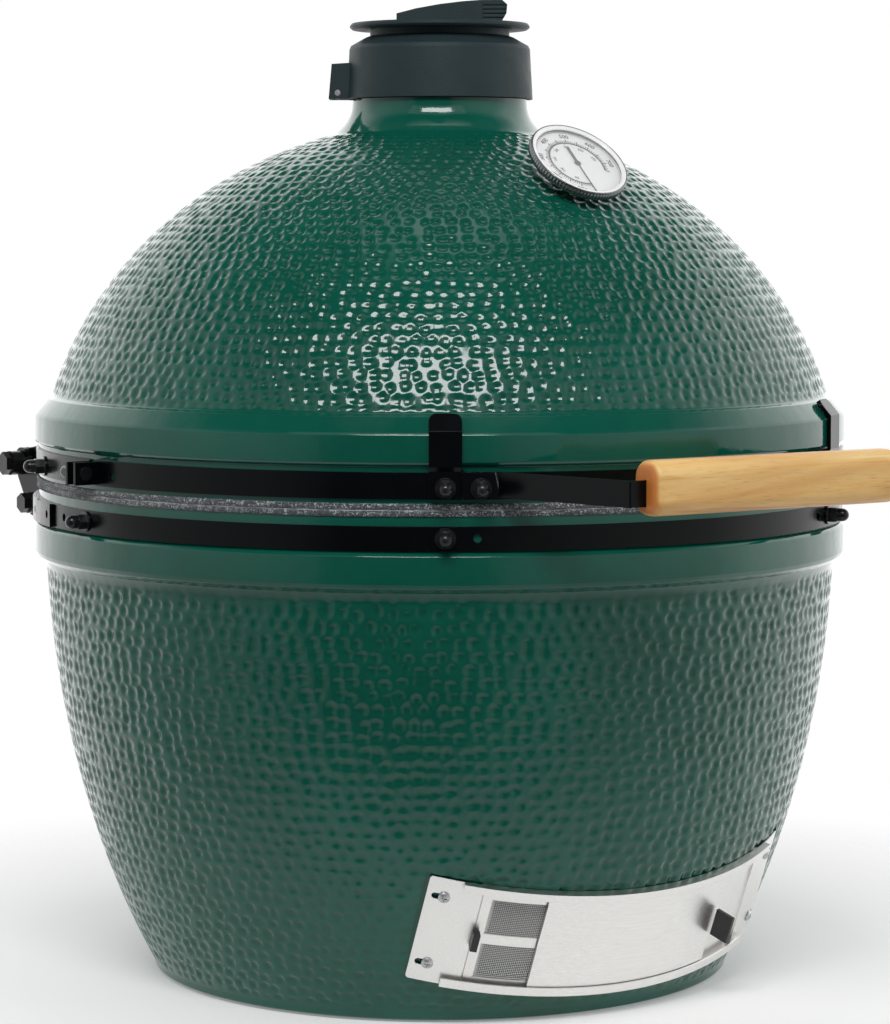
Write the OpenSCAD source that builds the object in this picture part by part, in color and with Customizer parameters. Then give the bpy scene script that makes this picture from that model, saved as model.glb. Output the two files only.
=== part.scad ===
// Kamado ceramic grill: a ceramic base and a hinged ceramic dome, held in steel bands.
// Millimetres. +Z is up, the front with the draft door and the handle faces -Y.
// The origin is the centre of the foot, on the surface that the grill stands on.
// Azimuths are degrees from the front, positive towards +X.

/* [Ceramic base] */
// Largest radius of the curved base wall
base_a = 333.2; // [330:0.1:335]
// Vertical half axis of the curved base wall
base_b = 560.9; // [540:0.1:580]
// Height at which the curved base wall would be widest
base_widest_z = 388; // [380:1:400]
// Radius of the flat foot
foot_r = 238; // [225:1:240]
// Ceramic wall thickness
wall = 25; // [22:1:28]
// Thickness of the base floor
floor_t = 26; // [20:1:30]
// Height of the base rim, under the gasket
rim_z = 410.3; // [409:0.1:411]
// Outer radius of the thick lips beside the bands
lip_r = 342.4; // [341.5:0.1:344]
// Radius of the recess that the bands sit in
recess_r = 338; // [337:0.1:339]

/* [Ceramic dome] */
// Largest radius of the dome's curve
dome_a = 341.3; // [339:0.1:343]
// Vertical half axis of the dome's curve
dome_b = 322.1; // [315:0.1:330]
// Height of the centre of the dome's curve
dome_centre_z = 391.7; // [390:0.1:393]
// Height of the dome rim, over its gasket
dome_rim_z = 416.9; // [416:0.1:418]
// Radius of the neck
neck_r = 75.4; // [74:0.1:76]
// Radius of the chimney hole
chimney_r = 52; // [45:1:56]

/* [Bands] */
// Sheet thickness of the steel bands
band_t = 2; // [1.5:0.1:2.2]
// Lowest and highest edge of the lower band
lower_band_z = [382.7, 401.5];
// Lowest and highest edge of the upper band
upper_band_z = [421.9, 442.2];
// Azimuth of the dome tabs and of the bolts below them
tab_azimuth = 33.6; // [32:0.1:35]

/* [Handle] */
// Length of the wooden bar
handle_len = 235; // [230:1:245]
// Height and depth of the bar's section
handle_section = [31.5, 41];
// Distance from the grill's axis to the bar's axis
handle_y = 436; // [430:1:440]
// Height of the bar's axis
handle_z = 437; // [434:1:440]

/* [Dome hinge] */
// Distance of the hinge shaft behind the grill's axis
pivot_y = 400; // [395:1:405]
// Height of the hinge shaft
pivot_z = 410; // [408:1:411]
// Shaft radius
shaft_r = 6; // [5:0.5:7]
// Place of the lower rod, behind the axis and above the foot
rod_at = [378, 375];

/* [Draft door] */
// Radius of the door's curved front, about its own tilted axis
door_r = 295; // [294:0.1:296]
// Forward tilt of that axis
door_tilt = 22.85; // [22:0.05:23.5]
// Height of the middle of the door's curved front
door_centre_z = 63.5; // [62:0.5:65]
// Half angle that the door frame spans
door_half_angle = 35.6; // [34:0.1:36]
// Lowest and highest edge of the frame, along the tilted axis
door_edges = [-46, 47.3];
// Width of both slides, in degrees round the tilted axis
slide_angle = 34; // [30:0.5:35]

/* [Thermometer] */
// Radius of the dial's bezel
bezel_r = 41.2; // [39:0.1:42]
// Height of the bezel's face above the dome, along the stem
dial_lift = 21.3; // [20:0.1:24]
// Distance from the grill's axis to where the stem enters the dome
thermo_r = 183.4; // [180:0.1:190]
// Rise of the stem's axis above level
thermo_rise = 48; // [46:0.5:52]
// Length of the stem inside the dome
stem_reach = 110; // [80:1:130]

/* [Vent cap] */
// Direction of the cap's lever, from +X
vent_turn = -34.3; // [-60:0.1:0]
// Radius of the turning disc
disc_r = 75.5; // [72:0.5:77]
// Height of the disc's underside
disc_z = 790; // [789:0.5:792]
// Distance of the cap's hinge pin from the neck's axis
cap_pin_r = 85.5; // [85:0.1:86]
// Height of the cap's hinge pin
cap_pin_z = 737; // [736.5:0.1:737.5]

/* [Hidden] */

$fn = 72;
big_fn = 240;        // facets of the wide turned shapes
eps = 0.01;
fit = 0.05;          // radial clearance of a pin that turns in its bore
slack = 0.1;         // gap between a band and the ceramic that it holds
band_r = recess_r + slack;
band_out = band_r + band_t;
gasket_t = 3.1;
gasket_r = [311, recess_r - 0.5];
cavity_r = 311;      // inner radius at the rims
bolt_z = [392.5, 430.5];      // heights of the bolts on the lower and the upper band

// ---- curves of the ceramic walls ----

function base_r(z) = base_a * sqrt(1 - pow((z - base_widest_z) / base_b, 2));
function dome_r(z) = dome_a * sqrt(1 - pow((z - dome_centre_z) / dome_b, 2));
function cavity_dome_r(z) =
    (dome_a - wall - 2) * sqrt(1 - pow((z - dome_centre_z) / (dome_b - wall), 2));
function steps(a, b, n) = [for (i = [0:n]) a + (b - a) * i / n];

// ---- shared shapes ----

module tube(inner, outer, z) {
    rotate_extrude($fn = big_fn)
        translate([inner, z[0]]) square([outer - inner, z[1] - z[0]]);
}

// Part of a ring between two azimuths
module arc_tube(inner, outer, z, azimuth) {
    rotate([0, 0, azimuth[0] - 90])
        rotate_extrude(angle = azimuth[1] - azimuth[0], $fn = big_fn)
            translate([inner, z[0]]) square([outer - inner, z[1] - z[0]]);
}

// Puts children drawn at the front on another azimuth
module at_azimuth(a) {
    rotate([0, 0, a]) children();
}

// A cylinder that points out of the front, from radius r
module outward(r, z) {
    translate([0, -r, z]) rotate([90, 0, 0]) children();
}

// Cap nut with its washer, standing on its base along +Z
module acorn_nut() {
    cylinder(r = 8, h = 1.5);
    translate([0, 0, 1.5]) cylinder(r = 6.6, h = 7.1, $fn = 6);
    translate([0, 0, 8.6]) cylinder(r = 5.3, h = 4);
    translate([0, 0, 12.6]) sphere(r = 5.3);
}

// Cap nut on a short threaded end that reaches through the band
module acorn_bolt(reach) {
    acorn_nut();
    translate([0, 0, -reach]) cylinder(r = 3, h = reach + eps);
}

module rounded_rect(size, r) {
    square([size[0] - 2 * r, size[1]], center = true);
    square([size[0], size[1] - 2 * r], center = true);
    for (x = [-1, 1], y = [-1, 1])
        translate([x * (size[0] / 2 - r), y * (size[1] / 2 - r)]) circle(r = r);
}

// A flat strip on edge that follows a line of points in plan
module bent_strip(points, t, z) {
    for (i = [1:len(points) - 1]) {
        step = points[i] - points[i - 1];
        translate([points[i - 1][0], points[i - 1][1], z[0]])
            rotate([0, 0, atan2(step[1], step[0])])
                translate([0, -t / 2, 0]) cube([norm(step), t, z[1] - z[0]]);
    }
    for (i = [1:len(points) - 2])
        translate([points[i][0], points[i][1], z[0]]) cylinder(r = t / 2, h = z[1] - z[0]);
}

// Cross-head screw with a low round head, head up along +Z
module pan_screw() {
    difference() {
        intersection() {
            translate([0, 0, -3.2]) sphere(r = 6.2);
            cylinder(r = 4.7, h = 3.2);
        }
        for (a = [0, 90])
            rotate([0, 0, a]) translate([-2.4, -0.5, 1.4]) cube([4.8, 1, 3]);
    }
    translate([0, 0, -11]) cylinder(r = 2, h = 11 + eps);
}

// ---- ceramic base ----

base_top_z = 344;    // where the curved wall meets the lip's cove

module base_shell() {
    outer = [for (z = steps(8, base_top_z, 28)) [base_r(z), z]];
    inner = [for (z = steps(340, floor_t + 16, 20)) [base_r(z) - wall, z]];
    color([0.10, 0.33, 0.24])
        difference() {
            rotate_extrude($fn = big_fn)
                polygon(concat([[0, 0], [foot_r, 0], [base_r(8) - 1, 2.5]], outer,
                    [[lip_r - 6.5, 350], [lip_r - 1.5, 354], [lip_r, 357.5], [lip_r, 378.5],
                     [lip_r - 1.5, 380.4], [recess_r, 381.6], [recess_r, rim_z],
                     [cavity_r, rim_z], [cavity_r, 372]],
                    inner, [[base_r(42) - wall - 14, floor_t], [0, floor_t]]));
            door_pose() {
                door_sheet(door_r - 70, door_r + 10, [-34, 34], [-25.5, 25.5]);
                door_sheet(seat_r, door_r + 30, [-48.5, 48.5], [-36.3, 36.3]);
                door_screw_places()
                    translate([0, 0, -14]) cylinder(r = 2.2, h = 15);
            }
        }
}

module base_gasket() {
    color([0.42, 0.43, 0.44]) tube(gasket_r[0], gasket_r[1], [rim_z, rim_z + gasket_t]);
}

// ---- fire box, ring, grate and grid ----

fire_gap = 14;       // space between the fire box and the base wall
fire_wall = 24;
fire_top_z = 300;
shelf_z = [104, 126];
bowl_foot_z = 143.4; // below this the bowl slopes in to the grate's shelf
grate_r = 149;
grate_t = 10;
ring_top_z = 372;

function fire_out(z) = base_r(z) - wall - fire_gap;

module fire_box() {
    outer = [for (z = steps(floor_t + 18, fire_top_z, 14)) [fire_out(z), z]];
    bowl = [for (z = steps(fire_top_z, bowl_foot_z, 9)) [fire_out(z) - fire_wall, z]];
    color([0.86, 0.82, 0.73])
        difference() {
            rotate_extrude($fn = big_fn)
                polygon(concat(
                    [[fire_out(floor_t) - fire_wall - 10, floor_t], [fire_out(floor_t) - 10, floor_t]],
                    outer, bowl,
                    [[fire_out(shelf_z[1]) - fire_wall - 24, shelf_z[1]], [grate_r + 1.5, shelf_z[1]],
                     [grate_r + 1.5, shelf_z[1] - grate_t], [grate_r - 16, shelf_z[1] - grate_t],
                     [grate_r - 16, shelf_z[0]], [fire_out(floor_t) - fire_wall - 10, shelf_z[0]]]));
            translate([-100, -300, floor_t - 1]) cube([200, 200, 72]);
            for (a = [22.5:45:337.5])
                at_azimuth(a) outward(180, 170) cylinder(r = 11, h = 120);
        }
}

module fire_ring() {
    color([0.86, 0.82, 0.73]) tube(272, 299, [fire_top_z, ring_top_z]);
}

module fire_grate() {
    rings = [[0, 1], [34, 6], [66, 12], [98, 18], [128, 24]];
    color([0.16, 0.16, 0.17])
        difference() {
            translate([0, 0, shelf_z[1] - grate_t]) cylinder(r = grate_r, h = grate_t, $fn = big_fn);
            for (ring = rings, i = [0:ring[1] - 1])
                rotate([0, 0, 360 * i / ring[1]])
                    translate([ring[0], 0, shelf_z[1] - grate_t - 1]) cylinder(r = 8.5, h = grate_t + 2);
        }
}

grid_r = 304.8;      // a 24 inch grid
grid_wire = 3;
grid_pitch = 18;
grid_rim = 4;        // radius of the rim wire

module cooking_grid() {
    rim_centre_z = ring_top_z + grid_rim;
    reach = grid_r - grid_rim;
    color([0.75, 0.76, 0.78]) {
        translate([0, 0, rim_centre_z])
            rotate_extrude($fn = big_fn) translate([reach, 0]) circle(r = grid_rim, $fn = 48);
        for (i = [-15:15])
            translate([i * grid_pitch, 0, rim_centre_z + 5]) rotate([90, 0, 0])
                cylinder(r = grid_wire, h = 2 * sqrt(pow(reach, 2) - pow(i * grid_pitch, 2)),
                    center = true, $fn = 48);
        for (y = [-150, 0, 150])
            translate([0, y, rim_centre_z - 0.4]) rotate([0, 90, 0])
                cylinder(r = grid_wire, h = 2 * sqrt(pow(reach, 2) - y * y), center = true, $fn = 48);
    }
}

// ---- bands and their bolts ----

lower_bolt_azimuths = [-90, -tab_azimuth, tab_azimuth, 90];
spare_hole_azimuths = [-97, -29.5, 29.5, 97];

module lower_band() {
    color([0.05, 0.05, 0.055])
        difference() {
            tube(band_r, band_out, lower_band_z);
            for (a = concat(lower_bolt_azimuths, spare_hole_azimuths))
                at_azimuth(a) outward(band_r - 5, bolt_z[0]) cylinder(r = 3.3, h = 12);
        }
}

module lower_band_bolts() {
    color([0.09, 0.09, 0.10])
        for (a = lower_bolt_azimuths)
            at_azimuth(a) outward(band_out, bolt_z[0]) acorn_bolt(band_t);
}

band_end = 87.4;     // azimuth where the front half of the upper band ends
rear_end = 88.9;     // azimuth where its rear half ends
clamp_hole = 83.5;   // azimuth of the spare hole in front of the clamp
rear_bolt = 106;     // azimuth of the bolts that hold the hinge's arms to the band
ear_out = 360;       // radius that the clamp ears reach
ear_t = 3;
clamp_r = 351;
clamp_z = 432;

// A clamp ear that stands out of the band, its far face on the given azimuth
module clamp_ear(azimuth, side) {
    difference() {
        at_azimuth(azimuth)
            translate([side > 0 ? -ear_t : 0, -ear_out, upper_band_z[0] + 1])
                cube([ear_t, ear_out - band_r - 1, 18]);
        at_azimuth(azimuth)
            translate([0, -clamp_r, clamp_z]) rotate([0, 90, 0])
                cylinder(r = 4.2, h = 20, center = true);
    }
}

module upper_band() {
    color([0.05, 0.05, 0.055]) {
        difference() {
            arc_tube(band_r, band_out, upper_band_z, [-band_end, band_end]);
            for (a = [-tab_azimuth, tab_azimuth, -tab_azimuth + 4.4, tab_azimuth - 4.4,
                    -clamp_hole, clamp_hole])
                at_azimuth(a) outward(band_r - 5, bolt_z[1]) cylinder(r = 3.3, h = 12);
        }
        clamp_ear(-band_end, -1);
        clamp_ear(band_end, 1);
    }
}

// One clamp bolt: flat head in front of the ears, cap nut behind them
module band_clamp_bolts() {
    ears = rear_end - band_end;
    span = clamp_r * sin(ears) + ear_t;
    color([0.09, 0.09, 0.10])
        for (side = [-1, 1])
            at_azimuth(side * band_end)
                translate([-side * ear_t, -clamp_r, clamp_z]) rotate([0, side * 90, 0]) {
                    translate([0, 0, -2]) cylinder(r = 5.6, h = 2);
                    cylinder(r = 4, h = span + 3.4);
                    translate([0, 0, span + 3.4]) acorn_nut();
                }
}

// ---- dome tabs, straps and handle ----

tab_w = 25;
tab_t = 3;
tab_foot_r = band_out + 0.2;
strap_foot_r = tab_foot_r + tab_t + 0.1;
strap_t = 3;
strap_z = [423.5, 443];
second_bolt = tab_azimuth - 4.4;

tab_top_z = 486.3;
tab_corner = 6;      // rounding of the tab's free end
foot_corner = 4.5;   // rounding between the tab and its foot strip

// What is cut away outside a rounded corner whose tip is at the origin
module corner_trim(r, h) {
    difference() {
        translate([-r, -r, 0]) cube([r + 1, r + 1, h]);
        translate([-r, -r, -1]) cylinder(r = r + fit, h = h + 2);
    }
}

// The tab on the right, with its foot strip toward the middle
module dome_tab() {
    out = lip_r + 0.4;
    foot_top = upper_band_z[1] + foot_corner;
    foot_x = tab_w / 2 + foot_corner - fit;
    color([0.05, 0.05, 0.055])
        difference() {
            union() {
                at_azimuth(tab_azimuth) rotate([90, 0, -90])
                    translate([0, 0, -tab_w / 2])
                        linear_extrude(height = tab_w)
                            polygon([[tab_foot_r, upper_band_z[0]], [tab_foot_r + tab_t, upper_band_z[0]],
                                [tab_foot_r + tab_t, 443], [out + tab_t, 446.5], [out + tab_t, 473.5],
                                [out + tab_t - 10.6, tab_top_z], [out - 9.9, 484.1],
                                [out, 472.2], [out, 447.6], [tab_foot_r, 444]]);
                difference() {
                    arc_tube(tab_foot_r, tab_foot_r + tab_t, [upper_band_z[0], foot_top],
                        [tab_azimuth - 7, tab_azimuth]);
                    at_azimuth(tab_azimuth) translate([0, -tab_foot_r + 10, 0]) rotate([90, 0, 0])
                        linear_extrude(height = 40) {
                            translate([-foot_x, foot_top]) circle(r = foot_corner);
                            translate([-foot_x - 60, upper_band_z[1]]) square([60, 20]);
                        }
                }
            }
            for (a = [tab_azimuth, second_bolt])
                at_azimuth(a) outward(band_r - 5, bolt_z[1]) cylinder(r = 3.3, h = 20);
            at_azimuth(tab_azimuth)
                for (side = [0, 1])
                    mirror([side, 0, 0]) translate([tab_w / 2, -lip_r + 30, tab_top_z])
                        rotate([90, 0, 0]) corner_trim(tab_corner, 40);
        }
}

module dome_tab_left() {
    mirror([1, 0, 0]) dome_tab();
}

module dome_tab_right() {
    dome_tab();
}

module upper_band_bolts() {
    color([0.09, 0.09, 0.10])
        for (side = [-1, 1]) {
            at_azimuth(side * tab_azimuth)
                outward(tab_foot_r + tab_t + 0.3, bolt_z[1]) acorn_bolt(tab_t + band_t + 0.5);
            at_azimuth(side * second_bolt)
                outward(strap_foot_r + strap_t + 0.3, bolt_z[1])
                    acorn_bolt(strap_t + tab_t + band_t + 0.6);
            at_azimuth(side * rear_bolt) outward(band_out, bolt_z[1]) acorn_bolt(band_t);
        }
}

handle_tongue = 16;  // how far a strap's end reaches into the wood
handle_end_r = 7;    // rounding of the handle's ends
strap_corner = [131, 436];

module handle_strap(side) {
    start_r = strap_foot_r + strap_t / 2;
    start = [start_r * sin(26.9), start_r * cos(26.9)];
    color([0.05, 0.05, 0.055])
        difference() {
            union() {
                arc_tube(strap_foot_r, strap_foot_r + strap_t, strap_z,
                    side > 0 ? [26.7, 31.6] : [-31.6, -26.7]);
                mirror([side > 0 ? 0 : 1, 0, 0]) mirror([0, 1, 0])
                    bent_strip([start, strap_corner, [handle_len / 2 - handle_tongue, strap_corner[1]]],
                        strap_t, strap_z);
            }
            at_azimuth(side * second_bolt)
                outward(band_r, bolt_z[1]) cylinder(r = 3.3, h = 20);
        }
}

module handle_strap_left() {
    handle_strap(-1);
}

module handle_strap_right() {
    handle_strap(1);
}

module handle() {
    color([0.80, 0.62, 0.40])
        difference() {
            translate([-handle_len / 2, -handle_y, handle_z])
                rotate([90, 0, 90]) linear_extrude(height = handle_len)
                    rounded_rect(handle_section, 13);
            for (side = [-1, 1])
                translate([side * (handle_len / 2), -handle_y, (strap_z[0] + strap_z[1]) / 2])
                    cube([2 * handle_tongue + 1, strap_t + 0.4, strap_z[1] - strap_z[0] + 0.4],
                        center = true);
            for (side = [0, 1], up = [0, 1])
                mirror([side, 0, 0])
                    translate([handle_len / 2, -handle_y + 30, handle_z + (up - 0.5) * handle_section[1]])
                        mirror([0, 0, 1 - up]) rotate([90, 0, 0]) corner_trim(handle_end_r, 60);
        }
}

// ---- dome hinge ----

arm_x = [179.5, 184.5];       // the dome's arms, inside the base's plates
plate_x = [186, 190.5];
head_x = 203;                 // inner face of the hexagon heads
boss_r = 14;

// Copies children drawn at +X to both sides
module both_sides() {
    for (side = [0, 1])
        mirror([side, 0, 0]) children();
}

// A plate upright along Y, between two distances from the middle
module side_plate(x) {
    translate([x[0], 0, 0]) rotate([90, 0, 90]) linear_extrude(height = x[1] - x[0]) children();
}

module cross_bore(at, r) {
    translate([0, at[0], at[1]]) rotate([0, 90, 0]) cylinder(r = r, h = 500, center = true);
}

module hinge_base_bracket() {
    strap_out = band_out + 0.2 + 3;
    color([0.06, 0.06, 0.065])
        difference() {
            union() {
                arc_tube(band_out + 0.2, strap_out, lower_band_z, [101.5, 258.5]);
                both_sides() difference() {
                    side_plate(plate_x) {
                        polygon([[270, lower_band_z[0]], [275, 368], [rod_at[0] - 4, rod_at[1] - 11.3],
                            [rod_at[0] + 11.5, rod_at[1] - 3], [pivot_y + 13.6, pivot_z - 3.6],
                            [pivot_y - 6, pivot_z + 12.6], [pivot_y - 16, pivot_z - 3],
                            [330, lower_band_z[1]], [270, lower_band_z[1]]]);
                        translate(rod_at) circle(r = 12);
                        translate([pivot_y, pivot_z]) circle(r = boss_r);
                    }
                    translate([0, 0, 300]) cylinder(r = lip_r + 0.5, h = 81.9, $fn = big_fn);
                    translate([0, 0, 381]) cylinder(r = band_out + 0.2, h = 60, $fn = big_fn);
                }
            }
            cross_bore([pivot_y, pivot_z], shaft_r + fit);
            cross_bore(rod_at, 5);
            for (a = [-103, 103, -112, 112])
                at_azimuth(a) outward(band_r - 5, bolt_z[0]) cylinder(r = 3.3, h = 16);
        }
}

module hinge_dome_bracket() {
    color([0.06, 0.06, 0.065]) {
        difference() {
            union() {
                arc_tube(band_r, band_out, upper_band_z, [rear_end, 360 - rear_end]);
                both_sides() side_plate(arm_x) {
                    polygon([[270, 424], [287, 424], [pivot_y - 6, pivot_z - 12.6],
                        [pivot_y + 13, pivot_z + 5], [pivot_y - 4, pivot_z + 13.4],
                        [300, 441], [270, 441]]);
                    translate([pivot_y, pivot_z]) circle(r = boss_r);
                }
            }
            translate([0, 0, 400]) cylinder(r = band_r, h = 60, $fn = big_fn);
            cross_bore([pivot_y, pivot_z], shaft_r);
            for (a = [-rear_bolt, rear_bolt])
                at_azimuth(a) outward(band_r - 5, bolt_z[1]) cylinder(r = 3.3, h = 12);
        }
        clamp_ear(-rear_end, 1);
        clamp_ear(rear_end, -1);
    }
}

module hinge_shaft() {
    color([0.13, 0.13, 0.14]) {
        translate([0, pivot_y, pivot_z]) rotate([0, 90, 0])
            cylinder(r = shaft_r, h = 2 * head_x, center = true);
        both_sides() translate([head_x, pivot_y, pivot_z]) rotate([0, 90, 0])
            cylinder(r = 10.5, h = 7, $fn = 6);
    }
}

module hinge_spacers() {
    gap = 0.3;
    color([0.12, 0.12, 0.13])
        both_sides() translate([plate_x[1] + gap, pivot_y, pivot_z]) rotate([0, 90, 0])
            difference() {
                cylinder(r = 11, h = head_x - plate_x[1] - gap);
                translate([0, 0, -1]) cylinder(r = shaft_r, h = head_x);
            }
}

module hinge_lower_rod() {
    color([0.13, 0.13, 0.14]) {
        translate([0, rod_at[0], rod_at[1]]) rotate([0, 90, 0])
            cylinder(r = 5, h = 2 * (head_x - 6), center = true);
        both_sides() translate([plate_x[1], rod_at[0], rod_at[1]]) rotate([0, 90, 0]) {
            cylinder(r = 9.5, h = 6);
            translate([0, 0, 6]) cylinder(r = 9, h = 6.5, $fn = 6);
        }
    }
}

spring_r = 13;
spring_wire = 2.2;
spring_x = [172, 70];
spring_turns = 12;
spring_leg = 34;
ring_sides = 6;
rings_per_turn = 12;
rod_from_pivot = rod_at - [pivot_y, pivot_z];
// The coil ends where its straight leg just passes the lower rod
leg_angle = atan2(rod_from_pivot[1], rod_from_pivot[0])
    + acos((spring_r - 5 - spring_wire - slack) / norm(rod_from_pivot));

function coil_place(i, n) =
    let (turn = leg_angle + 360 * spring_turns * (n - i) / n)
    [spring_x[1] + (spring_x[0] - spring_x[1]) * i / n, turn];

// Centre and angle of each ring of the wire, the leg included
function spring_rings(n) = concat(
    [for (i = [0:n]) let (p = coil_place(i, n))
        [[p[0], spring_r * cos(p[1]), spring_r * sin(p[1])], p[1]]],
    [let (p = coil_place(n, n))
        [[p[0], spring_r * cos(p[1]) + spring_leg * sin(p[1]),
          spring_r * sin(p[1]) - spring_leg * cos(p[1])], p[1]]]);

module torsion_spring() {
    rings = spring_rings(spring_turns * rings_per_turn);
    last = len(rings) - 1;
    points = [for (ring = rings, k = [0:ring_sides - 1])
        let (a = 360 * k / ring_sides)
        ring[0] + spring_wire * [sin(a), cos(a) * cos(ring[1]), cos(a) * sin(ring[1])]];
    sides = [for (i = [0:last - 1], k = [0:ring_sides - 1])
        let (next = (k + 1) % ring_sides, at = i * ring_sides)
        [at + k, at + next, at + ring_sides + next, at + ring_sides + k]];
    ends = [[for (k = [0:ring_sides - 1]) ring_sides - 1 - k],
        [for (k = [0:ring_sides - 1]) last * ring_sides + k]];
    polyhedron(points = points, faces = concat(sides, ends));
}

module hinge_springs() {
    color([0.25, 0.25, 0.27])
        both_sides() translate([0, pivot_y, pivot_z]) torsion_spring();
}

// ---- draft door: everything is turned about one tilted axis ----

door_axis_z = door_centre_z + door_r * sin(door_tilt);
sheet = 1.2;
seat_r = door_r - 1.4;
middle_plate_r = door_r - sheet;
end_plate_r = door_r + 0.4;
screen_r = door_r + 0.4;
panel_r = door_r + 3;
lip_in = panel_r + sheet + 0.6;
slide_t = [-43.6, 44.6];
lip_edges = [-38.5, 41];      // free edges of the channel's two lips
recess_angle = 27.3;
channel_angle = 30.4;
window_angles = [-25.2, 5];
jog = 0.3;
screw_angle = 32.85;
screw_t = [-29.5, 30.8];
slot_angle = 33.57;           // the screws' slots run sideways
slot_r = 2.6;
slot_reach = 3.7;
screen_centre = -10.1;        // the screen rests at the left end of its track

module door_pose() {
    translate([0, 0, door_axis_z]) rotate([door_tilt, 0, 0]) children();
}

// A curved sheet between two radii, two heights and two azimuths
module door_sheet(inner, outer, t, azimuth) {
    rotate([0, 0, azimuth[0] - 90])
        rotate_extrude(angle = azimuth[1] - azimuth[0], $fn = big_fn)
            translate([inner, t[0]]) square([outer - inner, t[1] - t[0]]);
}

// Places of the four screws, each with +Z out of the door
module door_screw_places() {
    for (a = [-screw_angle, screw_angle], t = screw_t)
        rotate([0, 0, a]) translate([0, -end_plate_r - sheet, t]) rotate([90, 0, 0]) children();
}

// A profile of radii and heights, turned between two azimuths
module door_section(points, azimuth) {
    rotate([0, 0, azimuth[0] - 90])
        rotate_extrude(angle = azimuth[1] - azimuth[0], $fn = big_fn) polygon(points);
}

// Section of the frame where its lips stand: a plate between two radii, folded over at both edges
function channel_profile(inner, outer) =
    let (low = door_edges[0], high = door_edges[1], out = lip_in + sheet)
    [[inner, low], [out, low], [out, lip_edges[0]], [lip_in, lip_edges[0]],
     [lip_in, low + sheet], [outer, low + sheet], [outer, high - sheet], [lip_in, high - sheet],
     [lip_in, lip_edges[1]], [out, lip_edges[1]], [out, high], [inner, high]];

// Cutters that round the four corners of the frame
module door_corner_trims() {
    for (side = [0, 1], up = [0, 1])
        mirror([side, 0, 0]) rotate([0, 0, door_half_angle])
            translate([0, -door_r + 20, door_edges[up]]) mirror([0, 0, 1 - up]) rotate([90, 0, 0])
                corner_trim(3, 40);
}

module door_frame() {
    color([0.80, 0.80, 0.79])
        door_pose() difference() {
            union() {
                door_section(channel_profile(middle_plate_r, door_r), [-recess_angle, recess_angle]);
                for (side = [0, 1]) mirror([side, 0, 0]) {
                    door_section(channel_profile(middle_plate_r, end_plate_r + sheet),
                        [recess_angle, recess_angle + jog]);
                    door_section(channel_profile(end_plate_r, end_plate_r + sheet),
                        [recess_angle + jog, channel_angle]);
                    door_sheet(end_plate_r, end_plate_r + sheet, door_edges,
                        [channel_angle, door_half_angle]);
                }
            }
            door_sheet(door_r - 10, door_r + 1, [-34, 34], window_angles);
            door_corner_trims();
            for (a = [-slot_angle, slot_angle], t = screw_t)
                rotate([0, 0, a]) translate([0, -door_r + 20, t]) rotate([90, 0, 0]) {
                    for (side = [-1, 1])
                        translate([side * slot_reach, 0, 0]) cylinder(r = slot_r, h = 40);
                    translate([-slot_reach, -slot_r, 0]) cube([2 * slot_reach, 2 * slot_r, 40]);
                }
        }
}

module door_frame_screws() {
    color([0.72, 0.72, 0.72])
        door_pose() door_screw_places() pan_screw();
}

// A straight tab that stands out of a slide, on the given azimuth
module finger_tab(azimuth, from_r, size, t) {
    rotate([0, 0, azimuth])
        translate([-size[0] / 2, -from_r - size[1], t - size[2] / 2]) cube(size);
}

panel_tab_at = slide_angle / 2 - 0.15;
screen_tab_at = screen_centre - slide_angle / 2 + 0.2;

module door_panel() {
    color([0.82, 0.82, 0.81])
        door_pose() {
            door_sheet(panel_r, panel_r + sheet, slide_t, [-slide_angle / 2, slide_angle / 2]);
            finger_tab(panel_tab_at, panel_r, [1.2, 17.6, 21.5], 0);
        }
}

module door_panel_grip() {
    color([0.04, 0.04, 0.04])
        door_pose() difference() {
            finger_tab(panel_tab_at, panel_r + 3.4, [3.2, 16.2, 23.5], 0);
            finger_tab(panel_tab_at, panel_r, [1.2, 17.6, 21.5], 0);
        }
}

module screen_frame() {
    half = slide_angle / 2;
    color([0.78, 0.78, 0.77])
        door_pose() {
            difference() {
                door_sheet(screen_r, screen_r + 1, slide_t, [screen_centre - half, screen_centre + half]);
                for (t = [[4.5, 35.5], [-35.5, -4.5]])
                    door_sheet(screen_r - 5, screen_r + 5, t, [screen_centre - half + 1.5,
                        screen_centre + half - 1.5]);
            }
            finger_tab(screen_tab_at, screen_r, [1.2, 8, 12], 0);
        }
}

module screen_mesh() {
    half = slide_angle / 2;
    color([0.45, 0.45, 0.45])
        door_pose()
            for (t = [[4.5, 35.5], [-35.5, -4.5]])
                door_sheet(screen_r + 0.25, screen_r + 0.75, t,
                    [screen_centre - half + 1.5, screen_centre + half - 1.5]);
}

module screen_grip() {
    color([0.04, 0.04, 0.04])
        door_pose() difference() {
            finger_tab(screen_tab_at, screen_r + 2.4, [5.5, 8, 15], 0);
            finger_tab(screen_tab_at, screen_r, [1.2, 8, 12], 0);
        }
}

// ---- dome ----

neck_z = [712, 731.5];        // the bare part of the neck
spigot_r = 70;                // the neck inside the vent cap
spigot_z = 757;

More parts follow.
